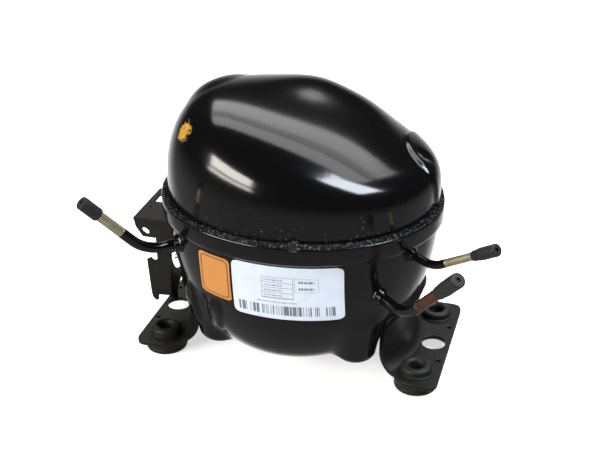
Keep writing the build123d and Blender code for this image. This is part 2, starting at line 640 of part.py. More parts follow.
def make_valve_stack(face, bolt_points):
    suction_port = (0, -port_radius - port_gap)
    discharge_port = (discharge_side, port_radius + port_gap)
    make_sheet("cylinder_gasket", face, gasket_sheet, [((0, 0), piston_radius + 0.6)], bolt_points)
    plate = face.offset(gasket_sheet)
    ports = [(suction_port, port_radius), (discharge_port, port_radius)]
    make_sheet("valve_plate", plate, plate_sheet, ports, bolt_points)
    outer = plate.offset(plate_sheet)
    make_sheet("head_gasket", outer, gasket_sheet, [((0, 0), piston_radius + 2)], bolt_points)
    with BuildPart() as suction_reed:
        with BuildSketch(plate.offset(-reed_sheet - reed_gap)):
            with Locations((0, (reed_root + reed_tip) / 2)):
                RectangleRounded(reed_width, reed_root - reed_tip, reed_width / 2 - 0.5)
        extrude(amount=reed_sheet)
    save(suction_reed, "suction_reed")
    with BuildPart() as discharge_reed:
        with BuildSketch(outer.offset(reed_gap)):
            with Locations((discharge_side, (reed_root + reed_tip) / 2 + discharge_rise)):
                RectangleRounded(reed_width, reed_root - reed_tip, reed_width / 2 - 0.5)
        extrude(amount=reed_sheet)
    save(discharge_reed, "discharge_reed")
    head_face = outer.offset(gasket_sheet)
    with BuildPart() as head:
        with BuildSketch(head_face) as outline:
            Rectangle(2 * block_half, 2 * block_half)
            fillet(outline.vertices(), head_round)
        extrude(amount=head_depth)
        with BuildSketch(head_face):
            Circle(piston_radius + 1)
        extrude(amount=head_depth - head_wall, mode=Mode.SUBTRACT)
        with BuildSketch(head_face.offset(rib_room)):
            Rectangle(2 * piston_radius + 2, rib_width)
        extrude(amount=head_depth - head_wall - rib_room + 1)
        with BuildSketch(head_face):
            with Locations(*bolt_points):
                Circle(head_bolt_radius + head_bolt_play)
        extrude(amount=head_depth, mode=Mode.SUBTRACT)
    save(head, "cylinder_head")
    with BuildPart() as bolts:
        with BuildSketch(face.offset(-head_bolt_depth)):
            with Locations(*bolt_points):
                Circle(head_bolt_radius)
        extrude(amount=head_bolt_depth + head_back - block_face)
        with BuildSketch(face.offset(head_back - block_face)):
            with Locations(*bolt_points):
                RegularPolygon(hex_radius, 6)
        extrude(amount=hex_height)
    save(bolts, "head_bolts")


def make_mufflers():
    place, length, width = suction_box["place"], suction_box["length"], suction_box["width"]
    with BuildPart() as suction:
        with BuildSketch(Plane.XY.offset(deck_top)):
            with Locations(place):
                RectangleRounded(length, width, suction_box["corner"])
        extrude(amount=suction_box["height"])
        fillet(suction.faces().sort_by(Axis.Z)[-1].edges(), suction_box["edge"])
        with BuildSketch(Plane.XY.offset(deck_top + muffler_wall)):
            with Locations(place):
                RectangleRounded(length - 2 * muffler_wall, width - 2 * muffler_wall,
                                 suction_box["corner"] - muffler_wall)
        extrude(amount=suction_box["height"] - 2 * muffler_wall - 1, mode=Mode.SUBTRACT)
        with BuildSketch(Plane.XZ.offset(block_half + 0.1)):
            with Locations((-head_back + head_depth / 2, cylinder_level - intake_drop)):
                Circle(intake_radius)
        extrude(amount=intake_length)
        with BuildSketch(Plane.XY.offset(cylinder_level - intake_drop - intake_radius)):
            with Locations(link_place):
                Rectangle(link_length, link_width)
        extrude(amount=link_height)
    save(suction, "suction_muffler")
    x, y = discharge_pot["place"]
    with BuildPart() as discharge:
        with BuildSketch(Plane.XY.offset(deck_top)):
            with Locations((x, y)):
                Circle(discharge_pot["radius"])
        extrude(amount=discharge_pot["height"])
        fillet(discharge.faces().sort_by(Axis.Z)[-1].edges(), discharge_pot["edge"])
        with BuildSketch(Plane.XY.offset(deck_top)):
            with Locations((x, y)):
                Circle(discharge_pot["radius"] - muffler_wall)
        extrude(amount=discharge_pot["height"] - 2 * muffler_wall - 1, mode=Mode.SUBTRACT)
    save(discharge, "discharge_muffler")
    exit_point, out, _, _ = tube_axes(tubes["discharge_tube"])
    finish = exit_point - out * (tube_tail + cap_seat)
    points = [Vector(x + discharge_pot["radius"] + 0.4, y, 118), Vector(20, y, 118), Vector(50, y, 116),
              Vector(64, 14, 110), Vector(62, -6, 98), finish - out * line_lead, finish]
    with BuildPart() as line:
        with BuildLine() as route:
            FilletPolyline(*points, radius=line_bend)
        with BuildSketch(Plane(points[0], z_dir=(1, 0, 0))):
            Circle(line_radius)
        sweep(path=route.wires()[0])
    save(line, "discharge_line")


lower_shell = make_lower_shell()
make_upper_shell()
make_seam_weld()
with BuildPart() as full_bowl:
    bowl()
for label, side in (("left_base_bracket", -1), ("right_base_bracket", 1)):
    make_base_bracket(label, side, full_bowl.part)
for label, (sx, sy) in corners.items():
    make_grommet(f"{label}_grommet", (sx * mount_span_x / 2, sy * mount_span_y / 2))
    make_spring_set(label, (sx * pocket_x, sy * pocket_y))
make_terminal()
make_fence(lower_shell)
for label, size in tubes.items():
    make_tube(label, size)
make_label("rating_label", rating_label)
make_label("side_label", side_label)
make_motor()
make_crankshaft()
make_piston_group()
make_cylinder_block()
make_mufflers()
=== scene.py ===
import math

import bpy
import numpy as np
from mathutils import Matrix, Vector, noise


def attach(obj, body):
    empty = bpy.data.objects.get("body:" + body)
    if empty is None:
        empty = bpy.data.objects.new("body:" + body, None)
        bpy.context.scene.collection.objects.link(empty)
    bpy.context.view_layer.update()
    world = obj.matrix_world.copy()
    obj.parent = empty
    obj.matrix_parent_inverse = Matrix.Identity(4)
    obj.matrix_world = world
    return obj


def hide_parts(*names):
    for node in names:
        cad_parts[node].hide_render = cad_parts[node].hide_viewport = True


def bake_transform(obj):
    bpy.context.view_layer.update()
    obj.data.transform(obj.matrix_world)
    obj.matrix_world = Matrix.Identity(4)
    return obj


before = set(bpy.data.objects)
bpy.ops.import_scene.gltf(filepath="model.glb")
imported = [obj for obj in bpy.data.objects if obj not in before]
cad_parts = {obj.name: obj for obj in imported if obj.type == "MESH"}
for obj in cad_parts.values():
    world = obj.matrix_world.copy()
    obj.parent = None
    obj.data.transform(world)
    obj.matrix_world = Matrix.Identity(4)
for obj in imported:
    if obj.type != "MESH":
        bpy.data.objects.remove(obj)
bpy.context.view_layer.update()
mm = 0.001  # sizes of the object are in millimetres, and those of the studio in metres
print("frame loaded:", len(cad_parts), "nodes")


# shader sockets that take part in plain Python sums
class Value:
    def __init__(self, finish, socket):
        self.finish = finish
        self.socket = socket

    def maths(self, operation, *values):
        return self.finish.node("ShaderNodeMath", dict(operation=operation), *values)

    def __add__(self, other):
        return self.maths("ADD", self, other)

    def __mul__(self, other):
        return self.maths("MULTIPLY", self, other)

    def __sub__(self, other):
        return self.maths("SUBTRACT", self, other)

    def __rsub__(self, other):
        return self.maths("SUBTRACT", other, self)

    def __truediv__(self, other):
        return self.maths("DIVIDE", self, other)

    def __gt__(self, other):
        return self.maths("GREATER_THAN", self, other)

    def __lt__(self, other):
        return self.maths("LESS_THAN", self, other)

    def __abs__(self):
        return self.maths("ABSOLUTE", self)

    __radd__ = __add__
    __rmul__ = __mul__

    def fraction(self):
        return self.maths("FRACT", self)

    def floor(self):
        return self.maths("FLOOR", self)

    def root(self):
        return self.maths("SQRT", self)

    def atMost(self, limit):
        return self.maths("MINIMUM", self, limit)

    def atLeast(self, limit):
        return self.maths("MAXIMUM", self, limit)


class Nodes:
    def __init__(self, tree):
        self.tree = tree

    def node(self, kind, settings, *values, out=0, **named):
        made = self.tree.nodes.new(kind)
        for key, value in settings.items():
            if key == "stops":
                self.setStops(made.color_ramp.elements, value)
            else:
                setattr(made, key, value)
        for slot, value in zip(made.inputs, values):
            self.feed(slot, value)
        for key, value in named.items():
            self.feed(made.inputs[key.replace("_", " ")], value)
        return Value(self, made.outputs[out])

    def setStops(self, elements, stops):
        while len(elements) < len(stops):
            elements.new(0.5)
        for element, (place, shade) in zip(elements, stops):
            element.position = place
            element.color = (shade, shade, shade, 1) if isinstance(shade, float) else (*shade, 1)

    def feed(self, slot, value):
        if isinstance(value, Value):
            self.tree.links.new(value.socket, slot)
        elif value is not None:
            slot.default_value = value

    def place(self, kind="Object"):
        return self.node("ShaderNodeTexCoord", {}, out=kind)

    def axes(self, kind="Object"):
        split = self.node("ShaderNodeSeparateXYZ", {}, self.place(kind)).socket.node
        return [Value(self, socket) for socket in split.outputs]


class Finish(Nodes):
    def __init__(self, name, **fixed):
        self.material = bpy.data.materials.new(name)
        self.material.use_nodes = True
        super().__init__(self.material.node_tree)
        self.shader = self.tree.nodes["Principled BSDF"]
        for key, value in fixed.items():
            self.shader.inputs[key.replace("_", " ")].default_value = value

    def set(self, **fed):
        for key, value in fed.items():
            self.feed(self.shader.inputs[key.replace("_", " ")], value)
        return self.material

    def grain(self, scale, detail=3.0, where=None, stretch=None, roughness=0.55):
        where = where or self.place()
        if stretch:
            where = self.node("ShaderNodeVectorMath", dict(operation="MULTIPLY"), where, stretch)
        return self.node("ShaderNodeTexNoise", {}, Vector=where, Scale=scale, Detail=detail, Roughness=roughness)

    def ramp(self, factor, stops):
        return self.node("ShaderNodeValToRGB", dict(stops=stops), factor)

    def mix(self, factor, first, second, blend="MIX"):
        made = self.tree.nodes.new("ShaderNodeMix")
        made.data_type = "RGBA"
        made.blend_type = blend
        for place, value in ((0, factor), (6, first), (7, second)):  # factor, A and B of its colour form
            self.feed(made.inputs[place], value if isinstance(value, (Value, float)) else (*value, 1))
        return Value(self, made.outputs[2])

    def bump(self, height, strength, distance, under=None):
        return self.node("ShaderNodeBump", {}, Strength=strength, Distance=distance, Height=height, Normal=under)


def scaled(values, share):
    return tuple(value * share for value in values)


# finishes of the housing
def glossPaint(name, shade=0.0022, gloss=0.13, peel=0.035):
    paint = Finish(name, Specular_IOR_Level=0.45)
    dust = paint.ramp(paint.grain(900.0, 6.0), [(0.6, 0.0), (0.75, 1.0)])
    cloud = paint.grain(34.0, 4.0)
    peelBump = paint.bump(paint.grain(420.0, 2.0), peel, 0.0006)
    colour = paint.mix(dust * 0.35, (shade, shade, shade * 1.08), (shade * 4, shade * 4, shade * 4))
    return paint, colour, cloud * 0.07 + (gloss - 0.035) + dust * 0.05, peelBump


def housingPaint():
    paint, colour, roughness, peel = glossPaint("housingGlossPaint")
    return paint.set(Base_Color=colour, Roughness=roughness, Normal=peel)


crayonMark = dict(centre=(-62.3, -37.0, 158.0), reach=4.6, colour=(0.66, 0.36, 0.02))


def domePaint():
    # gloss paint with a flaked crayon mark on the shoulder
    paint, colour, roughness, peel = glossPaint("domeGlossPaint")
    where = paint.place()
    centre = scaled(crayonMark["centre"], mm)
    away = paint.node("ShaderNodeVectorMath", dict(operation="DISTANCE"), where, centre, out=1)
    crumbs = paint.grain(430.0, 5.0, roughness=0.75)
    mark = (crumbs + (0.36 - away * (0.24 / (crayonMark["reach"] * mm)))) > 0.56
    shades = paint.ramp(paint.grain(1500.0, 4.0), [(0.42, (0.12, 0.055, 0.004)), (0.56, crayonMark["colour"])])
    raised = paint.bump(mark, 0.5, 0.0003, peel)
    return paint.set(Base_Color=paint.mix(mark, colour, shades), Roughness=roughness + mark * 0.35, Normal=raised)


def weldPaint():
    paint, colour, roughness, _ = glossPaint("weldPaint", 0.003)
    lumps = paint.grain(820.0, 6.0, roughness=0.8)
    # light grey specks on the dark bead: partly slag, partly painted glints
    slagAndGlintSpecks = paint.ramp(paint.grain(700.0, 5.0, roughness=0.75), [(0.57, 0.0), (0.62, 1.0)])
    bright = paint.mix(slagAndGlintSpecks * 0.8, colour, (0.34, 0.34, 0.36))
    return paint.set(Base_Color=bright, Roughness=roughness + lumps * 0.12, Normal=paint.bump(lumps, 1.0, 0.0028))


def bracketPaint():
    # thinner satin paint on the pressed feet
    paint = Finish("bracketSatinPaint", Specular_IOR_Level=0.3)
    cloud = paint.grain(45.0, 5.0)
    rub = paint.ramp(paint.grain(210.0, 6.0, roughness=0.7), [(0.56, 0.0), (0.72, 1.0)])
    colour = paint.mix(cloud, (0.0045, 0.0041, 0.0038), (0.012, 0.0102, 0.009))
    colour = paint.mix(rub * 0.4, colour, (0.026, 0.022, 0.019))
    bump = paint.bump(paint.grain(700.0, 3.0), 0.10, 0.0006)
    return paint.set(Base_Color=colour, Roughness=cloud * 0.16 + 0.33 + rub * 0.1, Normal=bump)


def rubber(name, shade, roughness):
    skin = Finish(name, Specular_IOR_Level=0.35)
    cloud = skin.grain(120.0, 5.0)
    bloom = skin.ramp(skin.grain(520.0, 5.0, roughness=0.7), [(0.5, 0.0), (0.7, 1.0)])
    colour = skin.mix(cloud, (shade * 0.7,) * 3, (shade * 1.3, shade * 1.25, shade * 1.2))
    colour = skin.mix(bloom * 0.35, colour, (shade * 2.6,) * 3)
    bump = skin.bump(skin.grain(1800.0, 3.0), 0.18, 0.0004)
    return skin.set(Base_Color=colour, Roughness=cloud * 0.12 + roughness, Normal=bump)


def bareTube(name, bright, dull, roughness):
    # drawn tube with length-wise streaks and brazing heat stains
    metal = Finish(name, Metallic=1.0)
    streak = metal.grain(90.0, 4.0, stretch=(1.0, 1.0, 0.3), roughness=0.6)
    stain = metal.ramp(metal.grain(130.0, 5.0, roughness=0.65), [(0.42, 0.0), (0.68, 1.0)])
    colour = metal.mix(streak, dull, bright)
    colour = metal.mix(stain * 0.6, colour, scaled(dull, 0.45))
    bump = metal.bump(streak, 0.05, 0.0004)
    return metal.set(Base_Color=colour, Roughness=streak * 0.18 + roughness + stain * 0.12, Normal=bump)


def inside(value, low, high):
    return (value > low) * (value < high)


# printed sheet: everything is drawn over the sheet's own width and height, from 0 to 1
ratingPrint = dict(
    sheet=(0.50, 0.54, 0.62), ink=(0.03, 0.03, 0.035), greyInk=(0.22, 0.23, 0.26),
    table=(0.29, 0.57, 0.42, 0.80), tableRows=4, rule=0.12, tableText=(0.31, 0.48), sideBox=(0.59, 0.79, 0.56, 0.80),
    sideRows=2, sideText=(0.62, 0.76), strip=(0.24, 0.6, 0.325, 0.35), textScale=95.0,
    bars=(0.055, 0.925, 0.085, 0.27), barCount=150.0, barGaps=0.42, line=0.006, aspect=1.8,
)


def insideBox(u, v, box):
    left, right, bottom, top = box
    return inside(u, left, right) * inside(v, bottom, top)


def boxLines(u, v, box, line, aspect):
    left, right, bottom, top = box
    outer = insideBox(u, v, (left - line, right + line, bottom - line * aspect, top + line * aspect))
    return outer - insideBox(u, v, box)


def rowPlace(v, box, rows):
    # how far up its own row a point lies, from 0 to 1
    return ((v - box[2]) / ((box[3] - box[2]) / rows)).fraction()


def ratingSheet():
    kit = ratingPrint
    paper = Finish("ratingSheet", Roughness=0.32, Specular_IOR_Level=0.5)
    u, v, _ = paper.axes("UV")
    table, sideBox = kit["table"], kit["sideBox"]
    row = rowPlace(v, table, kit["tableRows"])
    sideRow = rowPlace(v, sideBox, kit["sideRows"])
    inTable = insideBox(u, v, table)
    rules = inTable * (row < kit["rule"])
    frames = boxLines(u, v, table, kit["line"], kit["aspect"])
    frames = frames + boxLines(u, v, sideBox, kit["line"] * 0.6, kit["aspect"])
    # rows of meaningless dashes stand where print would be
    words = paper.node("ShaderNodeTexNoise", dict(noise_dimensions="1D"), W=u * kit["textScale"], Scale=1.0, Detail=2.0)
    dashes = inside(row, 0.38, 0.66) * inside(u, *kit["tableText"]) * inTable * (words > 0.48)
    sideDashes = inside(sideRow, 0.32, 0.68) * inside(u, *kit["sideText"]) * inside(v, *sideBox[2:])
    dashes = dashes + sideDashes * (words > 0.44)
    strip = insideBox(u, v, kit["strip"]) * (words > 0.46)
    cell = (u * kit["barCount"]).floor()
    chance = paper.node("ShaderNodeTexWhiteNoise", dict(noise_dimensions="1D"), W=cell)
    bars = (chance > kit["barGaps"]) * insideBox(u, v, kit["bars"])
    faint = paper.mix((rules + frames + strip).atMost(1.0), kit["sheet"], kit["greyInk"])
    printed = paper.mix((bars + dashes).atMost(1.0) * 0.8, faint, kit["ink"])
    scuff = paper.ramp(paper.grain(160.0, 5.0), [(0.35, 0.9), (0.7, 1.0)])
    soiled = paper.mix(1.0, printed, scuff, "MULTIPLY")
    return paper.set(Base_Color=soiled, Normal=paper.bump(paper.grain(500.0, 3.0), 0.05, 0.0004))


sidePrint = dict(sheet=(0.46, 0.19, 0.038), shade=(0.37, 0.14, 0.024), ink=(0.05, 0.018, 0.005), inset=0.075,
                 line=0.015, corner=0.12, aspect=1.28)


def sideSheet():
    kit = sidePrint
    paper = Finish("sideSheet", Roughness=0.3, Specular_IOR_Level=0.5)
    u, v, _ = paper.axes("UV")
    margin = kit["inset"] + kit["corner"]
    reachU = abs(u - 0.5) - (0.5 - margin)
    reachV = abs(v - 0.5) * kit["aspect"] - (0.5 * kit["aspect"] - margin)
    outU, outV = reachU.atLeast(0.0), reachV.atLeast(0.0)
    corner = (outU * outU + outV * outV).root()
    within = reachU.atLeast(reachV).atMost(0.0)
    line = abs(corner + within - kit["corner"]) < kit["line"]
    cloud = paper.grain(60.0, 4.0)
    colour = paper.mix(line * 0.95, paper.mix(cloud, kit["shade"], kit["sheet"]), kit["ink"])
    bump = paper.bump(paper.grain(500.0, 3.0), 0.05, 0.0004)
    return paper.set(Base_Color=colour, Normal=bump)


# finishes of the works inside
def castIron():
    metal = Finish("castIron", Metallic=0.85)
    lumps = metal.grain(520.0, 6.0, roughness=0.7)
    colour = metal.ramp(lumps, [(0.3, (0.07, 0.07, 0.072)), (0.7, (0.22, 0.22, 0.225))])
    return metal.set(Base_Color=colour, Roughness=lumps * 0.2 + 0.45, Normal=metal.bump(lumps, 0.5, 0.001))


def turnedSteel(name, shade, roughness, stretch):
    metal = Finish(name, Metallic=1.0)
    lines = metal.grain(900.0, 3.0, stretch=stretch)
    cloud = metal.grain(60.0, 3.0)
    colour = metal.mix(cloud, scaled(shade, 0.75), shade)
    return metal.set(Base_Color=colour, Roughness=lines * 0.2 + roughness, Normal=metal.bump(lines, 0.2, 0.0003))


def laminations(sheetPitch=0.5 * mm):
    metal = Finish("laminatedSteel", Metallic=0.9)
    level = (metal.axes()[2] / sheetPitch).fraction()
    edge = level.maths("PINGPONG", level, 0.5)
    colour = metal.mix(edge * 2.0, (0.05, 0.05, 0.055), (0.32, 0.33, 0.36))
    return metal.set(Base_Color=colour, Roughness=metal.grain(300.0, 4.0) * 0.3 + 0.3,
                     Normal=metal.bump(edge, 0.6, 0.0004))


def copperWinding():
    wire = Finish("copperWinding", Metallic=0.9, Coat_Weight=0.4)
    turns = wire.node("ShaderNodeTexWave", dict(wave_type="RINGS", rings_direction="Z"),
                      Vector=wire.place(), Scale=420.0, Distortion=3.0, Detail=2.0)
    colour = wire.mix(turns, (0.16, 0.035, 0.012), (0.62, 0.2, 0.07))
    return wire.set(Base_Color=colour, Roughness=wire.grain(400.0) * 0.25 + 0.25,
                    Normal=wire.bump(turns, 0.8, 0.0008))


def moulded(name, shade, roughness=0.42):
    plastic = Finish(name)
    cloud = plastic.grain(80.0, 4.0)
    colour = plastic.mix(cloud, scaled(shade, 0.8), shade)
    return plastic.set(Base_Color=colour, Roughness=cloud * 0.15 + roughness,
                       Normal=plastic.bump(plastic.grain(1400.0, 3.0), 0.15, 0.0003))


finishes = dict(
    housing=housingPaint(), dome=domePaint(), weld=weldPaint(), bracket=bracketPaint(),
    grommet=rubber("grommetRubber", 0.008, 0.5), cap=rubber("capRubber", 0.012, 0.5),
    brass=bareTube("brassTube", (0.95, 0.85, 0.55), (0.66, 0.56, 0.32), 0.3),
    copper=bareTube("copperTube", (0.31, 0.145, 0.095), (0.19, 0.088, 0.058), 0.34),
    rating=ratingSheet(), side=sideSheet(), iron=castIron(), lamination=laminations(), winding=copperWinding(),
    steel=turnedSteel("turnedSteel", (0.55, 0.55, 0.56), 0.2, (1.0, 1.0, 6.0)),
    spring=turnedSteel("springSteel", (0.33, 0.32, 0.31), 0.25, (3.0, 3.0, 3.0)),
    aluminium=turnedSteel("castAluminium", (0.72, 0.73, 0.74), 0.3, (2.0, 2.0, 2.0)),
    muffler=moulded("mufflerPlastic", (0.62, 0.6, 0.54)), plug=moulded("plugPlastic", (0.05, 0.03, 0.02)),
    sleeve=moulded("wireSleeve", (0.55, 0.12, 0.05)), gasket=moulded("gasketSheet", (0.10, 0.15, 0.11), 0.6),
)
print("finishes made:", len(finishes))


# mesh helpers: grids of points in millimetres
corners = dict(front_left=(-1, -1), front_right=(1, -1), rear_left=(-1, 1), rear_right=(1, 1))


def lapOf(count):
    return np.linspace(0, 2 * math.pi, count, endpoint=False)


def unit(vector):
    return vector / np.linalg.norm(vector)


def lumpAt(*place):
    return noise.noise(Vector(place))


def addObject(name, data):
    made = bpy.data.objects.new(name, data)
    bpy.context.scene.collection.objects.link(made)
    return made


def makePiece(name, points, faces, finish, body="housing", replaced=(), faceFinish=None):
    mesh = bpy.data.meshes.new(name)
    mesh.from_pydata((np.asarray(points, float) * mm).tolist(), [], faces)
    mesh.validate()
    for material in finish if isinstance(finish, list) else [finish]:
        mesh.materials.append(material)
    if faceFinish is not None:
        mesh.polygons.foreach_set("material_index", faceFinish)
    mesh.polygons.foreach_set("use_smooth", [True] * len(mesh.polygons))
    piece = addObject(name, mesh)
    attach(piece, body)
    if replaced:
        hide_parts(*replaced)
    return piece


def gridFaces(rows, columns, closed=False, firstPoint=0):
    # quads over rows of points that each run round a loop; closed joins the last row to the first
    faces = []
    for row in range(rows if closed else rows - 1):
        for column in range(columns):
            across = (column + 1) % columns
            low, high = row * columns, ((row + 1) % rows) * columns
            faces.append(tuple(firstPoint + k for k in (low + column, low + across, high + across, high + column)))
    return faces


def poleFaces(columns, ringStart, pole, flip):
    ring = [(ringStart + c, ringStart + (c + 1) % columns) for c in range(columns)]
    return [(b, a, pole) if flip else (a, b, pole) for a, b in ring]


def sharpen(piece, degrees=35.0, width=None):
    # hard edges stay crisp, and get a small round where a width is given
    if width:
        bevel = piece.modifiers.new("edgeRound", "BEVEL")
        bevel.width = width * mm
        bevel.segments = 2
        bevel.limit_method = "ANGLE"
        bevel.angle_limit = math.radians(degrees)
        bevel.harden_normals = True
    piece.data.set_sharp_from_angle(angle=math.radians(degrees))


def frameOf(axis):
    axis = Vector(axis).normalized()
    side = axis.orthogonal().normalized()
    return np.array(side), np.array(axis.cross(side)), np.array(axis)


def lathe(profile, origin, axis, columns=48, wobble=None):
    # turns (radius, along) points about an axis; wobble(turn, row) scales the radius
    side, across, along = frameOf(axis)
    points = []
    for row, (radius, step) in enumerate(profile):
        for turn in lapOf(columns):
            r = radius * (wobble(turn, row) if wobble else 1.0)
            points.append(np.array(origin) + along * step + r * (side * math.cos(turn) + across * math.sin(turn)))
    return points, gridFaces(len(profile), columns, closed=True)


def curveAt(t, start, middle, end):
    return (1 - t) ** 2 * start + 2 * t * (1 - t) * middle + t ** 2 * end


def rounded(profile, radii, steps=5):
    # rounds the corners of a closed (radius, along) profile
    made = []
    count = len(profile)
    for i, corner in enumerate(profile):
        radius = radii[i]
        if radius <= 0:
            made.append(corner)
            continue
        here = np.array(corner, float)
        back, ahead = (np.array(profile[(i + k) % count], float) - here for k in (-1, 1))
        start, end = (here + unit(v) * min(radius, np.linalg.norm(v) / 2) for v in (back, ahead))
        made += [tuple(curveAt(t, start, here, end)) for t in np.linspace(0, 1, steps)]
    return made


# the two shells, as formulas of height
shell = dict(
    wall=3.0, lowerX=87.8, lowerY=75.6, lowerTop=99.0, lowerDepth=87.0, fall=1.7, bowX=4.2, bowY=6.2,
    bowlTop=96.0, pressTop=95.5, liningFrom=12, bowlRows=150, domeRows=130,
    upperX=86.6, upperY=74.8, upperFoot=100.5, domeFoot=118.0, domeHeight=53.0, domeFall=2.7, domeBow=2.45,
    lean=12.3, leanRate=1.45, leanPower=1.6, leanEase=0.25, shift=-4.0, shiftPower=5, rimWall=4.4, fit=0.3,
    columns=360, collar=(104, 108, 110, 112, 114, 116),
    rim=((110.0, 0.9), (109.75, 0.3), (109.0, 0.0), (106.0, 0.0), (102.0, 0.0), (99.6, 0.05), (98.9, 0.45),
         (98.2, 1.25), (97.4, 2.2), (96.7, 3.0)),  # height, and how far in from the rim
)
turns = lapOf(shell["columns"])


def bowlHalf(height, grow=0.0):
    depth = max(0.0, (shell["lowerTop"] - height) / (shell["lowerDepth"] + grow))
    fall = max(0.0, 1 - depth ** shell["fall"])
    return ((shell["lowerX"] + grow) * fall ** (1 / shell["bowX"]),
            (shell["lowerY"] + grow) * fall ** (1 / shell["bowY"]))


def ellipseRow(halfX, halfY, height, around=turns):
    return np.stack([halfX * np.cos(around), halfY * np.sin(around), np.full_like(around, height)], axis=1)


def rowNormals(rows):
    # outward normals of a grid of rows that run down
    down = np.gradient(rows, axis=0)
    along = np.roll(rows, -1, axis=1) - np.roll(rows, 1, axis=1)
    normal = np.cross(down, along)
    return normal / np.maximum(np.linalg.norm(normal, axis=2, keepdims=True), 1e-9)


def bell(points, centre, radii):
    # a soft round patch, 1 at its centre
    return np.exp(-(((points - np.array(centre)) / np.array(radii)) ** 2).sum(axis=-1))


def smoothStep(value, low, high):
    t = np.clip((value - low) / (high - low), 0, 1)
    return t * t * (3 - 2 * t)


# spring pockets, pressed outwards at the four corners
pocket = dict(distance=57.9, angle=38.5, floor=15.5, radius=13.0, spread=3.0, lift=4.0, edge=6.0, blend=5.5,
              draft=38.0, draftMost=1.4, close=9.0, closeFrom=48.0, closeTo=72.0, eye=60.0, laps=70, stride=0.7)
flute = dict(top=62.0, bottom=27.0, height=2.6, soft=0.5, wallRadius=75.0,
             ribs=(dict(low=41.0, high=39.5, width=6.6), dict(low=52.0, high=60.0, width=7.4)))


def softUnion(first, second, blend):
    near = np.clip(blend - np.abs(first - second), 0, None) / blend
    return np.minimum(first, second) - near * near * blend / 4


def pressPockets(points, normals):
    # moves the bowl's points out, along rays from its middle, to a soft union with the pockets
    p = pocket
    rays = points - np.array([0, 0, p["eye"]])
    rays /= np.linalg.norm(rays, axis=2, keepdims=True)
    facing = np.clip((rays * normals).sum(axis=2), 0.2, 1)
    reach = np.zeros(points.shape[:2])
    angle = math.radians(p["angle"])
    for _ in range(p["laps"]):
        at = points + rays * reach[..., None]
        share = np.clip((at[..., 2] - p["floor"]) / p["draft"], 0, p["draftMost"])
        distance = p["distance"] + p["lift"] * share
        radius = p["radius"] + p["spread"] * share
        radius = radius - p["close"] * smoothStep(at[..., 2], p["closeFrom"], p["closeTo"])
        side = np.hypot(np.abs(at[..., 0]) - distance * math.cos(angle),
                        np.abs(at[..., 1]) - distance * math.sin(angle)) - radius + p["edge"]
        below = p["floor"] - at[..., 2] + p["edge"]
        gap = np.hypot(np.maximum(side, 0), np.maximum(below, 0)) + np.minimum(np.maximum(side, below), 0)
        reach = reach - p["stride"] * softUnion(reach * facing, gap - p["edge"], p["blend"])
    return points + rays * reach[..., None]


def fluteRise(points):
    # two leaf-shaped ribs run up from each pocket of the terminal side
    angle = np.degrees(np.arctan2(np.abs(points[..., 1]), -points[..., 0]))
    share = np.clip((points[..., 2] - flute["bottom"]) / (flute["top"] - flute["bottom"]), 0, 1)
    ends = smoothStep(share, 0.0, 0.3) * (1 - smoothStep(share, 0.8, 1.0))
    rise = 0
    for rib in flute["ribs"]:
        middle = rib["low"] + (rib["high"] - rib["low"]) * share
        across = np.abs(np.radians(angle - middle)) * flute["wallRadius"]
        width = rib["width"] * (0.45 + 0.55 * np.sin(math.pi * np.clip(share, 0.05, 0.97) ** 1.3))
        rise = rise + flute["height"] * ends * (1 - smoothStep(across / width, 1 - flute["soft"], 1.0))
    return rise


def makeShellPiece(name, stack, poles, flip, finish, node):
    # outside and lining in one closed surface, with a pole at each end of the stack
    columns = shell["columns"]
    verts = np.concatenate([stack.reshape(-1, 3), np.array(poles)])
    faces = gridFaces(len(stack), columns)
    if flip:
        faces = [tuple(reversed(f)) for f in faces]
    faces += poleFaces(columns, 0, len(verts) - 2, not flip)
    faces += poleFaces(columns, (len(stack) - 1) * columns, len(verts) - 1, flip)
    return makePiece(name, verts, faces, finish, replaced=[node])


def makeLowerShell():
    rimX, rimY = shell["upperX"] + shell["rimWall"], shell["upperY"] + shell["rimWall"]
    rows = [ellipseRow(rimX - shrink, rimY - shrink, height) for height, shrink in shell["rim"]]
    start = math.asin(((shell["lowerTop"] - shell["bowlTop"]) / shell["lowerDepth"]) ** (shell["fall"] / 2))
    for lap in np.linspace(start, math.pi / 2, shell["bowlRows"])[:-1]:
        height = shell["lowerTop"] - shell["lowerDepth"] * math.sin(lap) ** (2 / shell["fall"])
        rows.append(ellipseRow(*bowlHalf(height), height))
    points = np.array(rows)
    normals = rowNormals(points)
    pressed = pressPockets(points, normals)
    normals = rowNormals(pressed)
    rise = fluteRise(pressed)
    for (x, y, z), radii, depth in lowerDents:
        for sx, sy in corners.values():
            rise = rise + depth * bell(pressed, (sx * x, sy * y, z), radii)
    isBowl = (points[..., 2] < shell["pressTop"])[..., None]
    surface = np.where(isBowl, pressed + normals * rise[..., None], points)
    seatX, seatY = shell["upperX"] + shell["fit"], shell["upperY"] + shell["fit"]
    inner = [ellipseRow(seatX, seatY, z) for z in (shell["rim"][0][0], shell["upperFoot"])]
    inner.append(ellipseRow(*bowlHalf(shell["lowerTop"], -shell["wall"]), shell["upperFoot"]))
    inner += [surface[i] - normals[i] * shell["wall"] for i in range(shell["liningFrom"], len(rows))]
    stack = np.concatenate([surface[::-1], np.array(inner)], axis=0)
    lowest = surface[-1][:, 2].min()
    makeShellPiece("lower_shell_pressing", stack, [(0, 0, lowest - 0.02), (0, 0, lowest + shell["wall"])], False,
                   finishes["housing"], "lower_shell")


# dents of the lower shell, at all four corners: centre, radii and rise
lowerDents = [
    ((57.5, 50.0, 54.0), (3.6, 3.6, 4.6), -1.6),
    ((37.5, 63.6, 57.0), (4.4, 4.4, 3.4), -1.3),
]

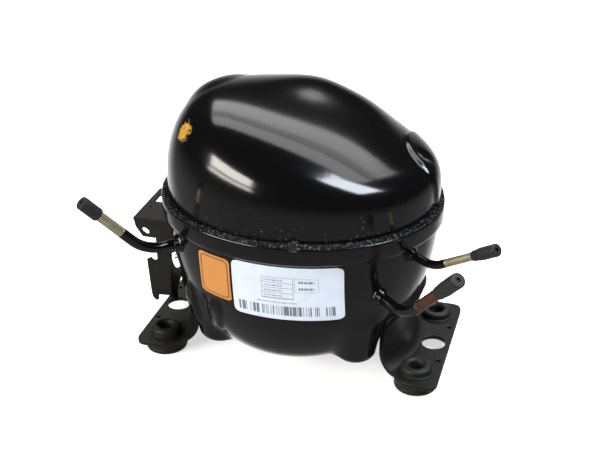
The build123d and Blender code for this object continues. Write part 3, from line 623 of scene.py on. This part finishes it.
# raised pads, hump and dimples of the dome
domePads = [
    dict(centre=(84.0, 23.0, 133.0), along=(0.28, -0.80, -0.1), across=(0.80, 0.28, -0.8), reach=(30.0, 25.0),
         height=1.7, edge=0.055),
    dict(centre=(-62.0, 22.0, 168.0), along=(0.2, 1.0, 0.0), across=(0.9, -0.2, 0.5), reach=(24.0, 13.0),
         height=1.9, edge=0.5),
]
domeRises = [
    ((2.0, 34.0, 168.0), (26.0, 28.0, 30.0), 6.4),
    ((34.0, 36.0, 159.0), (20.0, 26.0, 24.0), 3.2),
    ((76.0, 7.0, 139.0), (4.2, 4.2, 4.2), -1.3),
]


def padRise(points, pad):
    offset = points - np.array(pad["centre"])
    directions = [np.array(Vector(pad[k]).normalized()) for k in ("along", "across")]
    spread = np.sqrt(sum((offset @ d / r) ** 2 for d, r in zip(directions, pad["reach"])))
    near = np.linalg.norm(offset, axis=-1) < 1.6 * max(pad["reach"])
    return pad["height"] * (1 - smoothStep(spread, 1 - pad["edge"], 1 + pad["edge"])) * near


def makeUpperShell():
    rows = [ellipseRow(shell["upperX"], shell["upperY"], z) for z in (shell["upperFoot"], *shell["collar"])]
    for lap in np.linspace(0, math.pi / 2, shell["domeRows"])[:-1]:
        rise = math.sin(lap) ** (2 / shell["domeFall"])
        fall = math.cos(lap) ** (2 / shell["domeBow"])
        bend = shell["leanRate"] * rise ** shell["leanPower"]
        ease = max(shell["leanEase"] - abs(bend - 1), 0) / shell["leanEase"]
        lean = math.radians(shell["lean"] * (min(1.0, bend) - ease * ease * shell["leanEase"] / 4))
        ring = ellipseRow(shell["upperX"] * fall, shell["upperY"] * fall, 0.0)
        x = ring[:, 0] * math.cos(lean) + shell["shift"] * rise ** shell["shiftPower"]
        z = shell["domeFoot"] + shell["domeHeight"] * rise - ring[:, 0] * math.sin(lean)
        rows.append(np.stack([x, ring[:, 1], z], axis=1))
    points = np.array(rows[::-1])
    normals = rowNormals(points)
    rise = sum(padRise(points, pad) for pad in domePads)
    for centre, radii, height in domeRises:
        rise = rise + height * bell(points, centre, radii)
    surface = points + normals * rise[..., None]
    inner = surface - normals * shell["wall"]
    inner[-1][:, 2] = shell["upperFoot"]
    stack = np.concatenate([surface, inner[::-1]], axis=0)
    makeShellPiece("upper_shell_pressing", stack, [surface[0].mean(axis=0), inner[0].mean(axis=0)], True,
                   finishes["dome"], "upper_shell")


makeLowerShell()
makeUpperShell()
print("shells made")


# weld round the rim: overlapping ripples, a start lump and spatter
weld = dict(halfX=88.5, halfY=76.7, level=110.5, wide=2.2, tall=1.5, ripple=2.6, rough=0.7, columns=1100, rows=14,
            lumpAngle=-79.0, lumpSpread=2.2, lump=1.8, arcRadius=82.0, wander=0.35, fine=0.3)


def makeSeamWeld():
    points = np.zeros((weld["rows"], weld["columns"], 3))
    for c, turn in enumerate(lapOf(weld["columns"])):
        centre = np.array([weld["halfX"] * math.cos(turn), weld["halfY"] * math.sin(turn), weld["level"]])
        out = unit(np.array([math.cos(turn) / weld["halfX"], math.sin(turn) / weld["halfY"], 0]))
        arc = turn * weld["arcRadius"]
        away = (math.degrees(turn) - weld["lumpAngle"] + 180) % 360 - 180
        lump = weld["lump"] * math.exp(-(away / weld["lumpSpread"]) ** 2)
        wander = weld["wander"] * lumpAt(arc * 0.09, 3.0, 0)
        for r in range(weld["rows"]):
            lap = 2 * math.pi * r / weld["rows"]
            ripple = 0.16 * math.sin(2 * math.pi * arc / weld["ripple"] + 1.4 * math.cos(lap))
            rough = weld["rough"] * lumpAt(arc * 0.55, math.cos(lap) * 2, math.sin(lap) * 2)
            rough += weld["fine"] * lumpAt(arc * 1.9, math.cos(lap) * 4, math.sin(lap) * 4)
            grow = ripple + rough * 0.8 + lump
            points[r, c] = centre + out * ((weld["wide"] + grow) * math.cos(lap) + wander)
            points[r, c, 2] += (weld["tall"] + grow) * math.sin(lap)
    faces = gridFaces(weld["rows"], weld["columns"], closed=True)
    return makePiece("seam_weld_bead", points.reshape(-1, 3), faces, finishes["weld"],
                     replaced=["seam_weld"])


spatter = dict(count=170, smallest=0.25, largest=0.85, seed=7, angle=-82, angleSpread=26, foot=112.5,
               riseSpread=6.5, mostRise=17, facets=7)


def makeSpatter():
    # small uneven balls, thickest near the weld
    draw = np.random.default_rng(spatter["seed"])
    facets = spatter["facets"]
    verts, faces = [], []
    for _ in range(spatter["count"]):
        turn = math.radians(draw.normal(spatter["angle"], spatter["angleSpread"]))
        rise = min(abs(draw.normal(0, spatter["riseSpread"])), spatter["mostRise"])
        centre = np.array([shell["upperX"] * math.cos(turn), shell["upperY"] * math.sin(turn), spatter["foot"] + rise])
        size = spatter["smallest"] + (spatter["largest"] - spatter["smallest"]) * draw.random() ** 2.5
        first = len(verts)
        for row in range(1, 4):
            tilt = math.pi * row / 4
            for column in range(facets):
                spin = 2 * math.pi * column / facets
                away = np.array([math.sin(tilt) * math.cos(spin), math.sin(tilt) * math.sin(spin), math.cos(tilt)])
                verts.append(centre + size * away * (0.85 + 0.3 * draw.random()))
        verts += [centre + np.array([0, 0, size]), centre - np.array([0, 0, size])]
        faces += gridFaces(3, facets, firstPoint=first)
        faces += poleFaces(facets, first, len(verts) - 2, True)
        faces += poleFaces(facets, first + 2 * facets, len(verts) - 1, False)
    return makePiece("weld_spatter", verts, faces, finishes["weld"])


makeSeamWeld()
makeSpatter()
print("welds made")


# stub tubes: place on the wall, heading, size, bend, paint limit and cap
tubeKit = dict(
    suction_tube=dict(around=220.5, height=87.2, heading=221.3, radius=3.25, wall=0.7, reach=21.5, droop=0.5,
                      rise=48.0, bend=26.0, painted=21.7, bare=41.4, cap=14.2, capRadius=4.3, metal="brass",
                      neck=0.0),
    discharge_tube=dict(around=-27.2, height=93.5, heading=-31.5, radius=2.5, wall=0.6, reach=18.5, droop=1.0,
                        rise=33.0, bend=22.0, painted=11.8, bare=35.2, cap=18.7, capRadius=3.8, metal="brass",
                        neck=0.6),
    process_tube=dict(around=-41.2, height=69.2, heading=-38.2, radius=3.35, wall=0.7, reach=22.8, droop=2.2,
                      rise=46.3, bend=26.0, painted=16.6, bare=40.8, cap=21.0, capRadius=4.6, metal="copper",
                      neck=0.45),
)
tubeTail, capFloor, capSeat, paintBuild = 10.0, 3.0, 0.3, 0.12


def tubeAxes(size):
    around, heading, rise = (math.radians(size[k]) for k in ("around", "heading", "rise"))
    halfX, halfY = bowlHalf(size["height"])
    level = np.array([math.cos(heading), math.sin(heading), 0])
    exitPoint = np.array([halfX * math.cos(around), halfY * math.sin(around), size["height"]])
    corner = exitPoint + level * size["reach"] - np.array([0, 0, size["droop"]])
    return exitPoint, unit(corner - exitPoint), corner, level * math.cos(rise) + np.array([0, 0, math.sin(rise)])


def tubeLine(size, tubeEnd):
    # straight, arc, straight
    exitPoint, out, corner, rising = tubeAxes(size)
    turn = math.acos(float(out @ rising))
    setback = size["bend"] * math.tan(turn / 2)
    start, arcStart = exitPoint - out * tubeTail, corner - out * setback
    centre = corner + unit(rising - out) * size["bend"] / math.cos(turn / 2)
    line = [start + (arcStart - start) * t for t in np.linspace(0, 1, 8)[:-1]]
    for t in np.linspace(0, turn, 18):
        line.append(centre + (arcStart - centre) * math.cos(t) + out * size["bend"] * math.sin(t))
    marks = [setback + (size["painted"] - setback) * t for t in (0.25, 0.5, 0.75, 0.97)]
    marks += [size["painted"], size["painted"] + 0.25]
    marks += list(np.linspace(size["painted"] + 1.5, tubeEnd, 8))
    line += [corner + rising * m for m in marks if m > setback + 0.1]
    return np.array(line)


def makeTube(label, size, columns=40):
    tubeEnd = size["bare"] + size["cap"] - capFloor - capSeat
    line = tubeLine(size, tubeEnd)
    exitPoint, out, corner, rising = tubeAxes(size)
    across = unit(np.cross(out, rising))
    tangents = np.gradient(line, axis=0)
    tangents /= np.linalg.norm(tangents, axis=1, keepdims=True)
    spin = lapOf(columns)
    beyond = (line - corner) @ rising
    isPainted = beyond < size["painted"] + 0.05
    rings = []
    for shrink, order in ((0.0, range(len(line))), (size["wall"], range(len(line) - 1, -1, -1))):
        for i in order:
            up = np.cross(tangents[i], across)
            radius = size["radius"] - shrink + (paintBuild if isPainted[i] and shrink == 0 else 0)
            rings.append([line[i] + radius * (across * math.cos(s) + up * math.sin(s)) for s in spin])
    points = np.array(rings).reshape(-1, 3)
    faces = gridFaces(len(rings), columns, closed=True)
    metal = [int(not isPainted[i]) for i in range(len(line) - 1)] + [1] * (len(rings) - len(line) + 1)
    faceFinish = [index for index in metal for _ in range(columns)]
    makePiece(f"{label}_drawn", points, faces, [finishes["housing"], finishes[size["metal"]]],
              replaced=[label], faceFinish=faceFinish)
    makeCollar(label, size, exitPoint, out)
    makeCap(label, size, corner, rising)


# braze fillet: steps are (past the bore, along), for two uneven rings and run-off
braze = dict(fit=0.14, lumps=0.10, fine=0.05, columns=56,
             steps=[(0, -4.0), (2.8, -3.6), (2.8, -0.2), (2.5, 0.5), (1.5, 0.8), (1.6, 1.5), (1.5, 2.1), (0.8, 2.4),
                    (0.85, 3.0), (0.6, 3.5), (0.05, 3.8), (0, 3.2)])


def makeCollar(label, size, origin, axis):
    bore = size["radius"] + braze["fit"]
    profile = [(bore + past, along) for past, along in braze["steps"]]
    seed = size["around"]

    def wobble(turn, row):
        if row in (0, len(profile) - 1):
            return 1.0
        lumps = lumpAt(math.cos(turn) * 1.3, math.sin(turn) * 1.3, seed + row * 0.22)
        fine = lumpAt(math.cos(turn) * 4, math.sin(turn) * 4, seed + row * 0.5)
        return 1.0 + braze["lumps"] * lumps + braze["fine"] * fine

    points, faces = lathe(profile, origin, axis, braze["columns"], wobble)
    makePiece(f"{label}_braze", points, faces, finishes["housing"], replaced=[f"{label}_collar"])


# rubber cap: a narrow neck, a shoulder and a moulding dimple in its end
cap = dict(fit=0.06, neckEnd=3.2, shoulder=5.6, dimple=1.3, dimpleDepth=1.4, middle=0.02)


def makeCap(label, size, corner, rising):
    length, radius, bore = size["cap"], size["capRadius"], size["radius"] + cap["fit"]
    neck, low = radius - size["neck"], length - cap["dimpleDepth"]
    profile = [(bore, 0.0), (neck, 0.0), (neck, cap["neckEnd"]), (radius, cap["shoulder"]), (radius, length),
               (cap["dimple"], length), (cap["dimple"], low), (cap["middle"], low),
               (cap["middle"], length - capFloor), (bore, length - capFloor)]
    profile = rounded(profile, [0, 0.5, 1.2, 1.2, 1.0, 0.35, 0.2, 0, 0, 0])
    mouth = corner + rising * size["bare"]
    points, faces = lathe(profile, mouth, rising, 48)
    piece = makePiece(f"{label}_rubber_cap", points, faces, finishes["cap"], body=f"{label}_cap",
                      replaced=[f"{label}_cap"])
    sharpen(piece, 50)


for tubeName, tubeSize in tubeKit.items():
    makeTube(tubeName, tubeSize)
print("tubes made")


# rubber grommets in the feet
grommet = dict(spanX=170.0, spanY=70.0, foot=13.9, neck=8.9, crown=9.9, bore=4.6, plateLow=7.6, plateHigh=10.6,
               top=15.9)


def makeGrommets():
    foot, neck, crown, bore, top = (grommet[key] for key in ("foot", "neck", "crown", "bore", "top"))
    low, high = grommet["plateLow"] - 0.1, grommet["plateHigh"] + 0.1
    profile = [(bore, 0.0), (foot - 0.5, 0.0), (foot, 1.6), (foot, 2.6), (foot - 0.35, 3.1), (foot - 0.2, 6.2),
               (foot - 1.4, low), (neck, low), (neck, high), (crown + 0.9, high), (crown + 0.9, high + 0.4),
               (crown + 0.1, high + 0.6), (crown + 0.1, top - 0.6), (crown - 3.4, top), (bore + 1.6, top - 0.2),
               (bore, top - 1.4)]
    radii = [0.4, 0.6, 0.6, 0.4, 0.4, 0.9, 1.0, 0.3, 0.3, 0.2, 0.3, 0.2, 2.6, 1.2, 0.9, 0.9]
    for label, (sx, sy) in corners.items():
        place = (sx * grommet["spanX"] / 2, sy * grommet["spanY"] / 2, 0.0)
        points, faces = lathe(rounded(profile, radii, 4), place, (0, 0, 1), 72)
        makePiece(f"{label}_grommet_rubber", points, faces, finishes["grommet"],
                  replaced=[f"{label}_grommet"])


makeGrommets()
print("grommets made")


# pressed feet: a plate with holes, and a bend that rises to a leaf against the shell
bracket = dict(reach=100.6, halfWidth=51.8, sheet=3.0, low=7.6, cornerRound=8.0, edgeRound=0.45, tabX=14.0,
               root=(71.9, 42.5), bow=(73.0, 46.6), shoulder=(79.5, 50.3),
               flangeX=77.0, flangeY=74.0, bend=4.6, leafCentre=18.0, leafRise=34.5, leafHalf=50.0,
               leafEdge=30.5, hug=6.0, footDraw=2.4, bendGrow=5.4,
               relief=7.9, reliefX=89.7, tooling=1.4, toolingX=96.6, toolingY=20.5, hole=9.2)


def ringSpline(curve, points):
    spline = curve.splines.new("POLY")
    spline.points.add(len(points) - 1)
    for knot, (x, y) in zip(spline.points, points):
        knot.co = (x * mm, y * mm, 0, 1)
    spline.use_cyclic_u = True


def circlePoints(x, y, radius, count=48):
    return [(x + radius * math.cos(turn), y + radius * math.sin(turn)) for turn in lapOf(count)]


def makePlate(label, side):
    b = bracket
    edge = math.radians(b["leafEdge"])
    reaches = [(t, sum(leafFoot(t)) - 0.3) for t in np.linspace(edge, -edge, 48)]
    inner = [(r * math.cos(t), r * math.sin(t)) for t, r in reaches]
    outline = []
    for sy in (-1, 1):
        start, bow, shoulder = (np.array(v) * (1, sy) for v in (b["root"], b["bow"], b["shoulder"]))
        run = [tuple(curveAt(t, start, bow, shoulder)) for t in np.linspace(0, 1, 9)]
        corner = [(b["reach"] - b["tabX"], sy * b["halfWidth"]), (b["reach"], sy * b["halfWidth"])]
        outline += (run + corner)[::-sy]
    radii = [0] * 9 + [6.0, b["cornerRound"], b["cornerRound"], 6.0] + [0] * 9
    outline = rounded(outline + inner, radii + [0] * len(inner), 9)
    curve = bpy.data.curves.new(f"{label}_plate", "CURVE")
    curve.dimensions = "2D"
    curve.fill_mode = "BOTH"
    curve.extrude = (b["sheet"] / 2 - b["edgeRound"]) * mm
    curve.bevel_depth = b["edgeRound"] * mm
    curve.bevel_resolution = 2
    curve.offset = -b["edgeRound"] * mm
    ringSpline(curve, [(side * x, y) for x, y in outline])
    for sy in (-1, 1):
        ringSpline(curve, circlePoints(side * grommet["spanX"] / 2, sy * grommet["spanY"] / 2, b["hole"]))
        ringSpline(curve, circlePoints(side * b["toolingX"], sy * b["toolingY"], b["tooling"], 20))
    ringSpline(curve, circlePoints(side * b["reliefX"], 0, b["relief"]))
    flat = addObject(f"{label}_flat", curve)
    bpy.context.view_layer.update()
    mesh = bpy.data.meshes.new_from_object(flat.evaluated_get(bpy.context.evaluated_depsgraph_get()))
    bpy.data.objects.remove(flat)
    mesh.transform(Matrix.Translation((0, 0, (b["low"] + b["sheet"] / 2) * mm)))
    mesh.materials.clear()
    mesh.materials.append(finishes["bracket"])
    mesh.polygons.foreach_set("use_smooth", [True] * len(mesh.polygons))
    piece = addObject(f"{label}_plate", mesh)
    sharpen(piece, 40)
    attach(piece, "housing")
    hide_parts(label)


def leafFoot(turn):
    # where the leaf stands, and how wide its bend is, at an angle round the bowl
    share = (turn / math.radians(bracket["leafEdge"])) ** 2
    foot = 1 / math.hypot(math.cos(turn) / bracket["flangeX"], math.sin(turn) / bracket["flangeY"])
    return foot - bracket["footDraw"] * share, bracket["bend"] + bracket["bendGrow"] * share


def makeLeaf(label, side):
    # the bend and the leaf, as one sheet that stands up from the plate and then lies on the bowl
    b = bracket
    top, sheet = b["low"] + b["sheet"], b["sheet"]
    edge = math.radians(b["leafEdge"])
    arc = np.linspace(0, math.pi / 2, 10)[1:]
    sections = []
    for turn in np.linspace(-edge, edge, 80):
        heading = np.array([math.cos(turn), math.sin(turn), 0])
        foot, bend = leafFoot(turn)
        crest = b["leafCentre"] + b["leafRise"] * math.sqrt(max(0.02, 1 - (foot * heading[1] / b["leafHalf"]) ** 2))
        outer, inner = [], []
        for height in np.linspace(max(crest, top + bend + 3.0), top + bend, 22):
            halfX, halfY = bowlHalf(height)
            bowlOut = 1 / math.hypot(heading[0] / halfX, heading[1] / halfY)
            stand = -softUnion(-foot, -(bowlOut + sheet), b["hug"])
            outer.append((stand, height))
            inner.append((max(bowlOut - 0.4, stand - sheet), height))
        middle = outer[-1][0] + bend
        over = [(middle - bend * math.cos(a), top + bend * (1 - math.sin(a))) for a in arc]
        under = [(middle - (bend + sheet) * math.cos(a), top + bend - (bend + sheet) * math.sin(a)) for a in arc]
        profile = outer + over + [(middle + 0.6, top), (middle + 0.6, b["low"] + 0.05)] + under[::-1] + inner[::-1]
        sections.append([heading * r + np.array([0, 0, z]) for r, z in profile])
    points = np.array(sections)
    points[..., 0] *= side
    count = points.shape[1]
    last = (len(points) - 1) * count
    ends = [tuple(range(count)), tuple(last + k for k in reversed(range(count)))]
    faces = gridFaces(len(points), count) + ends
    if side < 0:
        faces = [tuple(reversed(f)) for f in faces]
    piece = makePiece(f"{label}_bend", points.reshape(-1, 3), faces, finishes["bracket"])
    sharpen(piece, 40)


for bracketName, bracketSide in (("left_base_bracket", -1), ("right_base_bracket", 1)):
    makePlate(bracketName, bracketSide)
    makeLeaf(bracketName, bracketSide)
print("feet made")


# labels: thin sheets that follow the wall, mapped over their own width and height
labelKit = dict(
    rating_label=dict(left=-22.8, right=44.6, bottom=57.5, top=95.8, corner=3.6, lift=0.16, thick=0.22,
                      finish="rating"),
    side_label=dict(left=-47.0, right=-24.4, bottom=63.6, top=94.0, corner=2.6, lift=0.16, thick=0.22,
                    finish="side"),
)


def makeLabel(label, size, columns=90, rows=44):
    width, height, corner = size["right"] - size["left"], size["top"] - size["bottom"], size["corner"]
    us, vs = np.linspace(0, 1, columns), np.linspace(0, 1, rows)
    layers = []
    for lift in (size["lift"] + size["thick"], size["lift"]):
        layer = np.zeros((rows, columns, 3))
        for r, v in enumerate(vs):
            z = size["bottom"] + height * v
            within = max(0.0, corner - min(v, 1 - v) * height)  # into the rounded corner
            tuck = corner - math.sqrt(max(0.0, corner ** 2 - within ** 2))
            halfX, halfY = bowlHalf(z, lift)
            x = size["left"] + tuck + (width - 2 * tuck) * us
            layer[r, :, 0] = x
            layer[r, :, 1] = -halfY * np.sqrt(np.maximum(0.0, 1 - (x / halfX) ** 2))
            layer[r, :, 2] = z
        layers.append(layer)
    points = np.concatenate([layer.reshape(-1, 3) for layer in layers])
    count = rows * columns
    faces = []
    for r in range(rows - 1):
        for c in range(columns - 1):
            quad = (r * columns + c, r * columns + c + 1, (r + 1) * columns + c + 1, (r + 1) * columns + c)
            faces += [quad, tuple(count + k for k in reversed(quad))]
    loop = list(range(columns)) + [r * columns + columns - 1 for r in range(1, rows)]
    loop += [(rows - 1) * columns + c for c in range(columns - 2, -1, -1)]
    loop += [r * columns for r in range(rows - 2, 0, -1)]
    faces += [(b, a, a + count, b + count) for a, b in zip(loop, loop[1:] + loop[:1])]
    piece = makePiece(f"{label}_sheet", points, faces, finishes[size["finish"]], replaced=[label])
    layer = piece.data.uv_layers.new(name="sheet")
    for knot in piece.data.loops:
        x, _, z = points[knot.vertex_index]
        layer.data[knot.index].uv = ((x - size["left"]) / width, (z - size["bottom"]) / height)
    sharpen(piece, 40)


for labelName, labelSize in labelKit.items():
    makeLabel(labelName, labelSize)
print("labels made")


# carried-over nodes and their finishes; the spring seats take the spring's
finishNodes = dict(
    bracket="terminal_fence", plug="cluster_plug", sleeve="lead_wires", winding="stator_winding",
    lamination="stator_stack rotor_core", aluminium="rotor_end_rings connecting_rod",
    iron="cylinder_block cylinder_head", gasket="cylinder_gasket head_gasket", muffler="suction_muffler",
    steel="hermetic_terminal stator_bolts crankshaft piston wrist_pin valve_plate head_bolts discharge_muffler",
    spring="oil_pickup suction_reed discharge_reed", copper="discharge_line",
)


def finishCarriedNodes():
    finishOf = {name: key for key, names in finishNodes.items() for name in names.split()}
    for name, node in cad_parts.items():
        if not node.hide_render:
            node.data.materials.clear()
            node.data.materials.append(finishes[finishOf.get(name, "spring")])


finishCarriedNodes()
sharpen(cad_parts["terminal_fence"], 30, 0.25)


def stretchSpring(name):
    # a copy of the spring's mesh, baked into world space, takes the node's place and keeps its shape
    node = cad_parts[name]
    coil = addObject(name + "_coil", node.data.copy())
    coil.matrix_world = node.matrix_world.copy()
    points = [coil.matrix_world @ vertex.co for vertex in coil.data.vertices]
    middleX, middleY = (sum(point[axis] for point in points) / len(points) for axis in (0, 1))
    low, high = (pick(point.z for point in points) for pick in (min, max))
    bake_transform(coil)
    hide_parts(name)


for cornerName in corners:
    stretchSpring(cornerName + "_spring")
print("springs made")


# floor, camera and light, in metres but for the camera
studio = dict(rings=(0.6, 1.6, 3.0, 8.0), columns=96, floorShade=0.9, floorGlow=0.62, worldSeen=1.0,
              roomGlow=0.03, rimGlow=1.1, rimFrom=(-0.25, 0.85, -0.46), rimEdges=(0.62, 0.97), lowGlow=0.32,
              lowEdges=(0.10, -0.35))
view = dict(azimuth=16.49, elevation=27.47, roll=-0.314, distance=733.47, target=(-1.51, 0.0, 84.55), lens=67.8)
white, warm, cool = (1, 1, 1), (1.0, 0.98, 0.90), (0.84, 0.91, 1.0)
softBoxes = dict(
    overheadBack=dict(at=(-0.13, 1.375, 1.75), aim=(-0.13, 1.375, 0), size=(2.3, 0.75), power=23.0, tint=white),
    overheadMiddle=dict(at=(-0.13, 0.895, 1.75), aim=(-0.13, 0.895, 0), size=(2.3, 0.09), power=2.8, tint=white),
    overheadFront=dict(at=(-0.13, 0.545, 1.75), aim=(-0.13, 0.545, 0), size=(2.3, 0.47), power=14.5, tint=white),
    keyLeft=dict(at=(-1.24, -1.29, 0.88), aim=(0, 0, 0.12), size=(1.25, 0.42), power=33.0, tint=warm),
    keyLeftLow=dict(at=(-1.25, -1.30, 0.52), aim=(0, 0, 0.12), size=(1.25, 0.14), power=9.0, tint=warm),
    fillRight=dict(at=(1.08, -0.12, 1.72), aim=(0.05, 0, 0.12), size=(0.7, 0.85), power=45.0, tint=cool),
)


def makeFloor():
    # one wide flat disc
    around = lapOf(studio["columns"])
    points = [(radius * math.cos(t), radius * math.sin(t), 0.0) for radius in studio["rings"] for t in around]
    faces = gridFaces(len(studio["rings"]), studio["columns"])
    faces = [tuple(reversed(f)) for f in faces] + poleFaces(studio["columns"], 0, len(points), False)
    mesh = bpy.data.meshes.new("studioFloor")
    mesh.from_pydata(points + [(0.0, 0.0, 0.0)], [], faces)
    floor = addObject("studioFloor", mesh)
    floor.visible_glossy = False  # the paint mirrors the dark room, not the floor
    pale = Finish("paleFloor", Roughness=0.85, Specular_IOR_Level=0.1, Emission_Color=(1, 1, 1, 1),
                  Emission_Strength=studio["floorGlow"])
    shade = studio["floorShade"]
    colour = pale.mix(pale.grain(3.0, 2.0), (shade,) * 3, (shade * 1.02,) * 3)
    mesh.materials.append(pale.set(Base_Color=colour))


def makeCamera():
    azimuth, elevation, roll = (math.radians(view[k]) for k in ("azimuth", "elevation", "roll"))
    back = Vector((math.sin(azimuth) * math.cos(elevation), -math.cos(azimuth) * math.cos(elevation),
                   math.sin(elevation)))
    right = Vector((math.cos(azimuth), math.sin(azimuth), 0))
    up = back.cross(right)
    turnedRight = right * math.cos(roll) + up * math.sin(roll)
    turnedUp = up * math.cos(roll) - right * math.sin(roll)
    camera = addObject("camera", bpy.data.cameras.new("camera"))
    camera.data.lens = view["lens"]
    camera.data.sensor_width = 36.0
    spot = (Vector(view["target"]) + back * view["distance"]) * mm
    camera.matrix_world = Matrix.Translation(spot) @ Matrix((turnedRight, turnedUp, back)).transposed().to_4x4()
    camera.data.clip_start, camera.data.clip_end = 0.01, 50.0
    bpy.context.scene.camera = camera


def makeLights():
    for name, kit in softBoxes.items():
        lamp = bpy.data.lights.new(name, "AREA")
        lamp.shape = "RECTANGLE"
        lamp.size, lamp.size_y = kit["size"]
        lamp.energy = kit["power"]
        lamp.color = kit["tint"]
        holder = addObject(name, lamp)
        holder.location = kit["at"]
        holder.rotation_euler = (Vector(kit["at"]) - Vector(kit["aim"])).to_track_quat("Z", "Y").to_euler()


def makeRoom():
    # dark room with a glow behind and one from below; the camera itself sees white
    world = bpy.data.worlds.new("studioRoom")
    bpy.context.scene.world = world
    world.use_nodes = True
    room = Nodes(world.node_tree)
    glow = studio["roomGlow"]
    for towards, edges, strength in ((studio["rimFrom"], studio["rimEdges"], studio["rimGlow"]),
                                     ((0, 0, 1), studio["lowEdges"], studio["lowGlow"])):
        facing = room.node("ShaderNodeVectorMath", dict(operation="DOT_PRODUCT"), room.place("Generated"),
                           Vector(towards).normalized(), out="Value")
        part = room.node("ShaderNodeMapRange", dict(interpolation_type="SMOOTHSTEP"), facing, *edges, 0.0, strength)
        glow = part + glow
    seen = room.node("ShaderNodeLightPath", {}, out="Is Camera Ray")
    background = world.node_tree.nodes["Background"]
    room.feed(background.inputs["Strength"], room.node("ShaderNodeMix", {}, seen, None, glow, studio["worldSeen"]))
    room.feed(background.inputs["Color"], (1, 1, 1, 1))


makeFloor()
makeCamera()
makeLights()
makeRoom()
bpy.context.scene.view_settings.view_transform = "Standard"
print("studio made")
